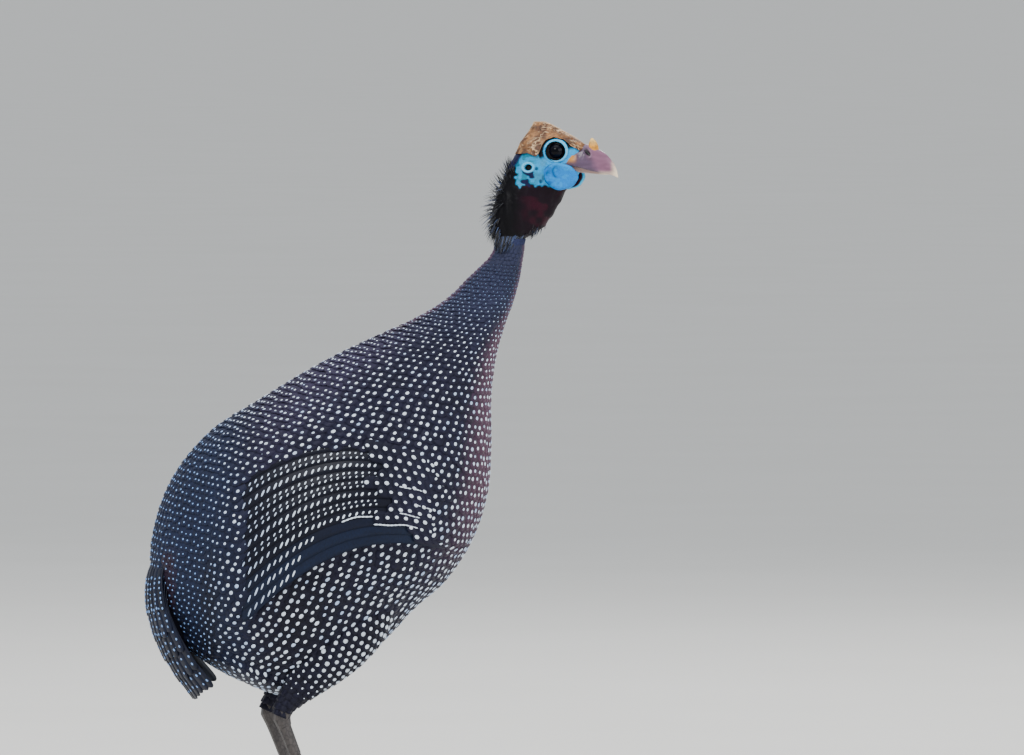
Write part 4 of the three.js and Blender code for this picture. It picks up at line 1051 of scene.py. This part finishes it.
def billPart(name, rows, upper):
    # edge + (ridge - edge)·sin^0.85 and y = w·cos over the top; the mouth side bows in by a tenth
    c = hornColours
    v = np.linspace(0, len(rows) - 1.001, 110)[:, None]
    turn = around(96)[None, :]
    ridgeX, ridgeZ, edgeX, edgeZ, wide = np.moveaxis(along(rows, v), -1, 0)
    over = np.maximum(np.sin(turn), 0) ** 0.85 - 0.1 * np.maximum(-np.sin(turn), 0)
    x, y, z = edgeX + (ridgeX - edgeX) * over, wide * np.cos(turn), edgeZ + (ridgeZ - edgeZ) * over
    points = pack(x, y, z)
    relief = 0.16 * (mottle(points * np.array([0.25, 1, 0.8]), 1.6, 31) - 0.5)
    if upper:
        dx, dz = x - nostril["x"], z - nostril["z"]
        ct, st = math.cos(nostril["tilt"]), math.sin(nostril["tilt"])
        away = np.hypot((dx * ct + dz * st) / nostril["long"], (-dx * st + dz * ct) / nostril["tall"])
        side = smooth(1.5, 3.0, np.abs(y))
        cere = smooth(188.5, 181.5, x + 0.5 * (z - 470) + 3 * (mottle(points, 3, 34) - 0.5))
        wrinkle = 0.45 * (mottle(points, 1.3, 32) - 0.4) + 0.5 * np.exp(-((away - 1.5) / 0.35) ** 2) * side
        relief = relief + cere * wrinkle - nostril["deep"] * smooth(1.15, 0.6, away) * side
        # Black in the middle of the nostril's pit is painted shade of the opening
        tint = blend(
            c["mauve"], (c["ivory"], smooth(197, 202.5, x) * 0.9),
            (c["ivory"], 0.45 * smooth(462.5, 459.5, z) * smooth(186, 192, x)), (c["grey"], cere * 0.9),
            (skinColours["black"], smooth(1.2, 0.75, away) * side),
            (c["knob"], 0.75 * cere * smooth(176, 172, x) * smooth(466, 470, z) * smooth(474, 472, z)))
    else:
        tint = blend(c["lower"], (c["ivory"], smooth(188, 195, x) * 0.7),
                     (c["grey"], smooth(176, 171, x) * 0.6))
    tint = tint * (0.86 + 0.28 * mottle(points * np.array([0.3, 1, 1]), 1.8, 33))[..., None]
    centre = pack((ridgeX + edgeX) / 2, 0, (ridgeZ + edgeZ) / 2)
    fade = smooth(len(rows) - 1.0, len(rows) - 2.2, v)
    points = points + unit(points - centre) * (relief * fade)[..., None]
    return closedLoft(name, turned(points), billHornFinish, tint)


def knobPart():
    rows = [[473.2, 179.2, 189.8, 3.7], [474, 179.6, 189.6, 3.6], [479.2, 181.6, 188.6, 3.2],
            [482.6, 182.6, 186.8, 2.2], [484.6, 183.6, 185, 0.8]]
    points = levelPoint(rows, np.linspace(0, 3.999, 50)[:, None], around(72)[None, :], 0)
    relief = 0.5 * (mottle(points, 1.5, 41) - 0.5) + 0.25 * (mottle(points, 0.8, 42) - 0.5)
    # Paler towards the top: painted light from above
    tint = blend(hornColours["knob"], (hornColours["knobLitTop"], smooth(478, 484, points[..., 2])))
    tint = tint * (0.7 + 0.5 * mottle(points, 1.2, 43))[..., None]
    points = points + unit(points - points.mean(axis=1, keepdims=True)) * relief[..., None]
    return closedLoft("nasalKnob", turned(points), casqueHornFinish, tint)


wattleSettings = {"x": 164.6, "y": 14.2, "z": 458, "long": 12.2, "tall": 9.4, "thick": 2.4, "lean": 0.24,
                  "dish": 0.72, "pitch": 0.2}


def wattlePart(side):
    # A lens turned about its own axis: the profile runs from the outer face's middle over the rim
    s, c = wattleSettings, hornColours
    d = s["dish"]
    profile = np.array([[0.02, d], [0.5, d + 0.1], [0.84, 0.98], [0.97, 0.55], [1.0, 0.0], [0.97, -0.55],
                        [0.84, -0.98], [0.5, -d - 0.1], [0.02, -d]])
    line = along(profile, np.linspace(0, len(profile) - 1, 70))
    turn = around(120)
    r, h = line[:, :1], line[:, 1:]
    lobes = 1 + 0.035 * np.sin(turn * 3 + 0.6) + 0.02 * np.sin(turn * 7)
    u, w = r * np.cos(turn) * s["long"] * lobes, r * np.sin(turn) * s["tall"] * lobes
    local = pack(u, h * s["thick"], w)
    # A half arc of a crease behind the middle of each face
    crease = np.exp(-((np.hypot(u + 1.0, w - 3.4) - 5.0) / 0.8) ** 2)
    crease = crease * smooth(-0.5, -4.0, u) * smooth(0.85, 0.65, r)
    pebble = 0.35 * (mottle(local, 1.7, 51) - 0.5) + 0.4 * (mottle(local, 4.5, 52) - 0.5)
    local = local + pack(0, np.sign(h) * (pebble * smooth(1.0, 0.8, r) - 0.5 * crease), 0)
    broad, small = mottle(local, 3.2, 53), mottle(local, 2.0, 54)
    # The deep azure along the crease is painted shade in its fold
    azure = blend(c["azure"], (c["azureDeep"], smooth(2, -8, u) * 0.65 * smooth(0.3, 0.7, broad)),
                  (c["skyPale"], smooth(4, 9, w) * 0.5 + 0.3 * smooth(0.55, 0.8, small)),
                  (c["azureDeep"], 0.8 * crease))
    # Painted shade: the far wattle's outer face is dulled half way to maroon
    azure = azure if side < 0 else blend(azure, (c["maroon"], 0.5))
    inner = blend(c["maroon"], (c["cyan"], smooth(0.9, 0.97, r)))
    tint = blend(inner, (azure, smooth(-0.1, 0.35, h)))
    x, y, z = np.moveaxis(local * np.array([1, side, 1]), -1, 0)
    cp, sp = math.cos(s["pitch"]), math.sin(s["pitch"])
    x, z = x * cp + z * sp, -x * sp + z * cp
    cl, sl = math.cos(-side * s["lean"]), math.sin(-side * s["lean"])
    x, y = x * cl - y * sl, x * sl + y * cl
    points = pack(x + s["x"], y + side * s["y"], z + s["z"])
    return closedLoft("wattleRight" if side < 0 else "wattleLeft", turned(points), bareSkin, tint)


def eyeMaterial():
    # The clear cornea over a dark iris: a wet gloss coat
    material, shader = newMaterial("wet dark eye", 0.35, 1.38, Specular_IOR_Level=0.0, Coat_Weight=0.22,
                                   Coat_Roughness=0.03)
    tint = addNode(material, "ShaderNodeAttribute", attribute_name="tint")
    place = addNode(material, "ShaderNodeTexCoord")
    fibres = noiseOf(material, (place, "Object"), patternScale(0.6))
    level = ranged(material, (fibres, "Fac"), To_Min=0.6, To_Max=1.4)
    finishBase(material, shader, (tint, "Color"), (level, "Result"))
    return material


def eyePart(side, material):
    # Ball with its pole along the look: y = radius·cos(v), a cornea swelling of 0.45 mm over the iris
    e = eyeSettings
    v, turn = np.linspace(0.001, math.pi * 0.99, 60)[:, None], around(72)[None, :]
    radius = e["radius"] + e["cornea"] * smooth(0.75, 0.2, v)
    points = pack(e["x"] + radius * np.sin(v) * np.cos(turn), side * (e["y"] + radius * np.cos(v)),
                  e["z"] + radius * np.sin(v) * np.sin(turn))
    iris = smooth(0.36, 0.42, v) * smooth(0.80, 0.72, v)
    tint = blend(skinColours["pupil"], (skinColours["iris"], iris))
    return closedLoft("eyeRight" if side < 0 else "eyeLeft", turned(points), material, tint)


def lidPart(side):
    # A ring round the eye, thin at its edge, with fine folds that follow it
    e = eyeSettings
    turn, round2 = around(160)[:, None], around(20)[None, :]
    thick = e["lidThick"] * (0.82 + 0.12 * np.sin(turn * 2 + 0.5) + 0.05 * np.sin(turn * 19))
    away = e["lidRadius"] + thick * np.cos(round2)
    x = e["x"] + away * np.cos(turn) * 1.03
    z = e["z"] + away * np.sin(turn) * 0.97
    points = pack(x, side * (e["lidY"] - 0.4 + 0.75 * thick * np.sin(round2) - 0.05 * (x - e["x"])), z)
    tint = blend(skinColours["lid"], (skinColours["black"], smooth(-0.35, -0.85, np.cos(round2))))
    tint = tint * (0.85 + 0.25 * mottle(points, 1.3, 61))[..., None]
    grid = np.arange(x.size).reshape(x.shape)
    nextRow, nextColumn = np.roll(grid, -1, axis=0), np.roll(grid, -1, axis=1)
    quads = pack(grid, nextRow, np.roll(nextRow, -1, axis=1), nextColumn).reshape(-1, 4)[:, ::-side]
    return meshObject("lidRight" if side < 0 else "lidLeft", turned(points), [quads], bareSkin, tint=tint)


def buildHeadParts():
    casqueHorn = casquePart()
    upper = billPart("billUpperHorn", billUpperRows, True)
    lower = billPart("billLowerHorn", billLowerRows, False)
    knob = knobPart()
    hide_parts("casque")
    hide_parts("bill_upper")
    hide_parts("bill_lower")
    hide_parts("nasal_knob")
    wet = eyeMaterial()
    for side, name in ((-1, "right"), (1, "left")):
        wattle = wattlePart(side)
        ball = eyePart(side, wet)
        lid = lidPart(side)
        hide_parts("wattle_" + name)
        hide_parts("eye_" + name)


buildHeadParts()
print("head parts done")

# Bristles of the hind neck and the hairs round the collar and throat
bristleSettings = {"nape": 340, "napeSpread": 0.85, "collar": 420, "throat": 60, "stations": 7,
                   "halfThick": 0.28}


def layBristles(root, direction, bend, long, halfWide):
    # root + s·long·direction + s²·bend, with a four-sided section that tapers as (1 - s)^0.7
    s = np.linspace(0, 1, bristleSettings["stations"])
    line = (root[:, None] + s[None, :, None] * (long[:, None] * direction)[:, None]
            + (s ** 2)[None, :, None] * bend[:, None])
    sideways = unit(np.cross(direction, bend + np.array([0.01, 0.3, 0.02])))
    across = unit(np.cross(direction, sideways))
    taper = np.maximum(1 - s, 0.02) ** 0.7
    a = sideways[:, None] * (halfWide[:, None] * taper)[..., None]
    b = across[:, None] * (bristleSettings["halfThick"] * taper)[None, :, None]
    ring = np.stack([line + a, line + b, line - a, line - b], axis=2)
    count, rows = ring.shape[:2]
    ends = np.array([[3, 2, 1, 0], [0, 1, 2, 3]]) + np.array([[0], [(rows - 1) * 4]])
    faces = repeated(np.concatenate([gridQuads(rows, 4, True), ends]), count, rows * 4)
    return {"points": ring, "faces": faces,
            "local": np.broadcast_to(gridOf(s, np.linspace(0, 1, 4)), (count, rows, 4, 2))}


def bristleRoots(count, lowV, highV, middleAngle, spread):
    v = lowV + (highV - lowV) * random.random(count)
    angle = middleAngle + spread * (2 * random.random(count) - 1)
    place = pack(v, angle)
    point, normal = headSurface(place)
    upward = unit(headSurface(place + np.array([0.05, 0]))[0] - point)
    return place, point - normal * 0.4, normal, upward


def buildBristles():
    # Long ones fan out over the nape, the collar's lie back over the coat, and the throat's are short hairs
    b, c = bristleSettings, plumageColours
    place, root, normal, upward = bristleRoots(b["nape"], 0.6, 7.4, math.pi, b["napeSpread"])
    height = (place[:, 0] - 0.6) / 6.8
    mix = (-0.9 + 1.5 * height + 0.5 * (random.random(b["nape"]) - 0.5))[:, None]
    edge = np.cos(np.clip(np.abs(place[:, 1] - math.pi), 0, b["napeSpread"]) * 1.2)
    long = (4.5 + 5.5 * random.random(b["nape"])) * (0.55 + 0.45 * edge) * (1 - 0.35 * smooth(0.6, 1, height))
    nape = layBristles(root, unit(normal * 0.8 + upward * mix), upward * 2.2 * np.sign(mix), long,
                       0.45 + 0.35 * random.random(b["nape"]))
    parts = [(place, nape)]
    place, root, normal, upward = bristleRoots(b["collar"], 0.02, 0.5, math.pi, 2.4)
    long = 6 + 6 * random.random(b["collar"])
    parts.append((place, layBristles(root, unit(normal * 0.35 - upward), normal * 1.6, long,
                                     0.4 + 0.3 * random.random(b["collar"]))))
    place, root, normal, upward = bristleRoots(b["throat"], 0.5, 2.2, 0.0, 1.0)
    long = 2 + 3 * random.random(b["throat"])
    parts.append((place, layBristles(root, unit(normal * 0.8 - upward * 0.7), -upward, long,
                                     np.full(b["throat"], 0.16))))
    for place, laid in parts:
        tone = blend(c["bristle"], (c["bristleGlint"], 0.75 * (random.random(len(place)) > 0.72)))
        dressed(laid, tone, pack(place[:, 1] / (2 * math.pi) % 1, place[:, 0] / 13))
    made = coatMesh("neckBristles", [laid for _, laid in parts], bristleShaft)


buildBristles()
print("bristles done")

# Legs: feathered drumsticks over a skin, and the scaled shanks and toes of the part itself


def thighPointOf(side):
    def pointAt(v, angle):
        # centre + cos·deep across the bone in the side view, sin·wide sideways
        v = np.clip(v, 0, legSettings["last"])
        row, ahead = along(thighRows, v), along(thighRows, v + 0.05)
        tangent = unit(ahead[..., :2] - row[..., :2])
        x = row[..., 0] - side * legSettings["stride"] - tangent[..., 1] * np.cos(angle) * row[..., 2]
        z = row[..., 1] + tangent[..., 0] * np.cos(angle) * row[..., 2]
        return pack(x, side * legSettings["y"] + np.sin(angle) * row[..., 3], z)
    return pointAt


def insideTrunk(point):
    # Hidden by the coat: within the trunk's outline in the side view, and nearer the middle than its flank
    place = flankPlace(point[:, 0], point[:, 2], np.sign(point[:, 1]))
    flank = trunkPoint(place[:, 0], place[:, 1])
    within = np.hypot(flank[:, 0] - point[:, 0], flank[:, 2] - point[:, 2]) < 2
    return within & (np.abs(point[:, 1]) < np.abs(flank[:, 1]) + 0.5)


def thighPlaces(pointAt):
    # Rings a step apart down the leg, with the places of each shifted half a step against the last
    step, rows, ring, v = legSettings["featherStep"], [], 0, 0.0
    fine = np.linspace(0, 2 * math.pi, 91)
    while v < legSettings["featherTo"]:
        here = pointAt(v, fine)
        girth = np.linalg.norm(np.diff(here, axis=0), axis=1).sum()
        count = max(7, int(round(girth / step)))
        rows.append(pack(v, (np.arange(count) + 0.5 * (ring % 2)) * 2 * math.pi / count))
        v += step / (np.linalg.norm(pointAt(v + 0.05, fine) - here, axis=1).mean() / 0.05)
        ring += 1
    return np.concatenate(rows)


def buildThighs():
    c, s = plumageColours, legSettings
    coats, spots, skins = [], [], []
    for side in (-1, 1):
        pointAt = thighPointOf(side)
        surface = surfaceOf(pointAt, 0.02, 0.01,
                            lambda v, a, at=pointAt: (at(v, a * 0) + at(v, a * 0 + math.pi)) / 2)
        point, normal = surface(gridOf(np.linspace(0, s["skinTo"], 44), around(48)))
        skins.append(point - normal * s["skinDepth"])
        place = thighPlaces(pointAt)
        place = place[~insideTrunk(surface(place)[0])]
        v, angle = place[:, 0], place[:, 1]
        speedV, speedA = surfaceSpeeds(pointAt, v, angle)
        count = len(v)
        lengthway = pack(np.minimum(s["featherLong"] / speedV, 1.2), 0)
        crossway = pack(0, np.minimum(s["featherHalf"] / speedA, 0.7))
        root = place - lengthway * 0.7
        root[:, 0] = np.maximum(root[:, 0], 0)
        lift = -2.0 + 0.3 * random.random(count)
        laid = layFeathers(surface, root, lengthway, crossway, lift, contourShape,
                           (s["featherLong"], s["featherHalf"]))
        tone = blend(c["dark"], (c["ground"], 0.35 + 0.4 * random.random(count)))
        rootMap = pack(0.25 + 0.5 * (side > 0) + 0.2 * angle / (2 * math.pi), v / 6)
        coats.append(dressed(laid, tone, rootMap))
        few = v < s["spotTo"]
        half = (1.35 * (0.8 + 0.35 * random.random(count)) * smooth(4.4, 2.0, v))[few] + 0.2
        dots = laySpots(surface, place[few], pack(half * 1.25 / speedV[few], 0),
                        pack(0, half / speedA[few]), lift[few] + 2.6, 0.35)
        spots.append(dressed(dots, c["pale"] * (0.75 + 0.3 * random.random((few.sum(), 1))), rootMap[few]))
    made = coatMesh("thighFeathers", coats, contourVane)
    dots = coatMesh("thighSpots", spots, whiteBarbs)
    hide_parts("thigh_right", "thigh_left")
    for rings, name in zip(skins, ("thighSkinRight", "thighSkinLeft")):
        skin = closedLoft(name, rings, underDown, c["underDown"])


def scaleMaterial(name, scaleSize, light, dark, roughness):
    # Horny leg scales: each cell a flat plate with a darker groove round it
    material, shader = newMaterial(name, roughness)
    place = addNode(material, "ShaderNodeTexCoord")
    spread = addNode(material, "ShaderNodeMapping", {"Vector": (place, "Object"), "Scale": (1.0, 1.0, 0.6)})
    cells = addNode(material, "ShaderNodeTexVoronoi",
                    {"Vector": (spread, "Vector"), "Scale": patternScale(scaleSize)},
                    feature="DISTANCE_TO_EDGE")
    edge = ranged(material, (cells, "Distance"), From_Max=0.12)
    tone = noiseMix(material, place, 9, light, dark)
    groove = ranged(material, (edge, "Result"), To_Min=0.45, To_Max=1.1)
    finishBase(material, shader, (tone, "Result"), (groove, "Result"), (edge, "Result"), 0.7, 0.25)
    return material


buildThighs()
legScales = scaleMaterial("horny leg scales", 2.4, "#4a4340", "#2c2829", 0.5)
clawHorn = scaleMaterial("worn dark claw horn", 5.0, "#3a332e", "#1f1b1a", 0.35)
for name, node in nodes.items():
    if name.startswith(("shank", "toe", "claw")):
        node.data.materials.clear()
        node.data.materials.append(clawHorn if name.startswith("claw") else legScales)
print("legs done")

# Camera, floor and light
cameraSettings = {"middleX": 127.4, "middleZ": 316.75, "distance": 9.0, "elevation": math.radians(2),
                  "frameWidth": 716.8, "sensor": 36.0}
# Disk lamps aimed at the bird's middle: name, place and size in metres, power in watts
lamps = [("key", (-1.0, -2.2, 2.2), 1.6, 62), ("fill", (2.2, -1.8, 1.2), 2.0, 30),
         ("rim", (0.8, 2.0, 2.2), 1.4, 40), ("top", (0, -0.2, 2.8), 2.2, 28)]


def buildStage():
    # A round floor with a radius of 250 m, so that no view looks past it or from behind a wall
    c = cameraSettings
    turn, reach = np.meshgrid(around(48), [20, 400, 3000, 30000, 250000.0])
    faces = [gridQuads(5, 48, True), np.arange(48)[None]]
    material, shader = newMaterial("matt painted studio floor", 0.7)
    place = addNode(material, "ShaderNodeTexCoord")
    link(material, (noiseMix(material, place, 300, "#dddbd5", "#e4e2dd"), "Result"), shader, "Base Color")
    floor = meshObject("studioFloor", pack(reach * np.cos(turn), reach * np.sin(turn), 0), faces, material,
                       body=None)
    camera = bpy.data.objects.new("camera", bpy.data.cameras.new("camera"))
    camera.data.sensor_width = c["sensor"]
    camera.data.lens = c["sensor"] * c["distance"] / (c["frameWidth"] * millimetre)
    camera.data.clip_end = 400
    target = Vector((c["middleX"] * millimetre + drawingShift, 0, c["middleZ"] * millimetre))
    back = Vector((0, -math.cos(c["elevation"]), math.sin(c["elevation"])))
    camera.location = target + back * c["distance"]
    camera.rotation_euler = (-back).to_track_quat("-Z", "Y").to_euler()
    bpy.context.scene.collection.objects.link(camera)
    bpy.context.scene.camera = camera
    for name, place, size, power in lamps:
        lamp = bpy.data.objects.new(name + "Lamp", bpy.data.lights.new(name + "Lamp", "AREA"))
        lamp.data.shape = "DISK"
        lamp.data.size = size
        lamp.data.energy = power
        lamp.location = place
        lamp.rotation_euler = (Vector((0, 0, 0.25)) - Vector(place)).to_track_quat("-Z", "Y").to_euler()
        bpy.context.scene.collection.objects.link(lamp)
    world = bpy.data.worlds.new("softDaylight")
    world.use_nodes = True
    sky = world.node_tree.nodes["Background"]
    sky.inputs["Color"].default_value = (*toLinear("#dfe4ea"), 1)
    sky.inputs["Strength"].default_value = 1.0
    bpy.context.scene.world = world


buildStage()
print("stage done")
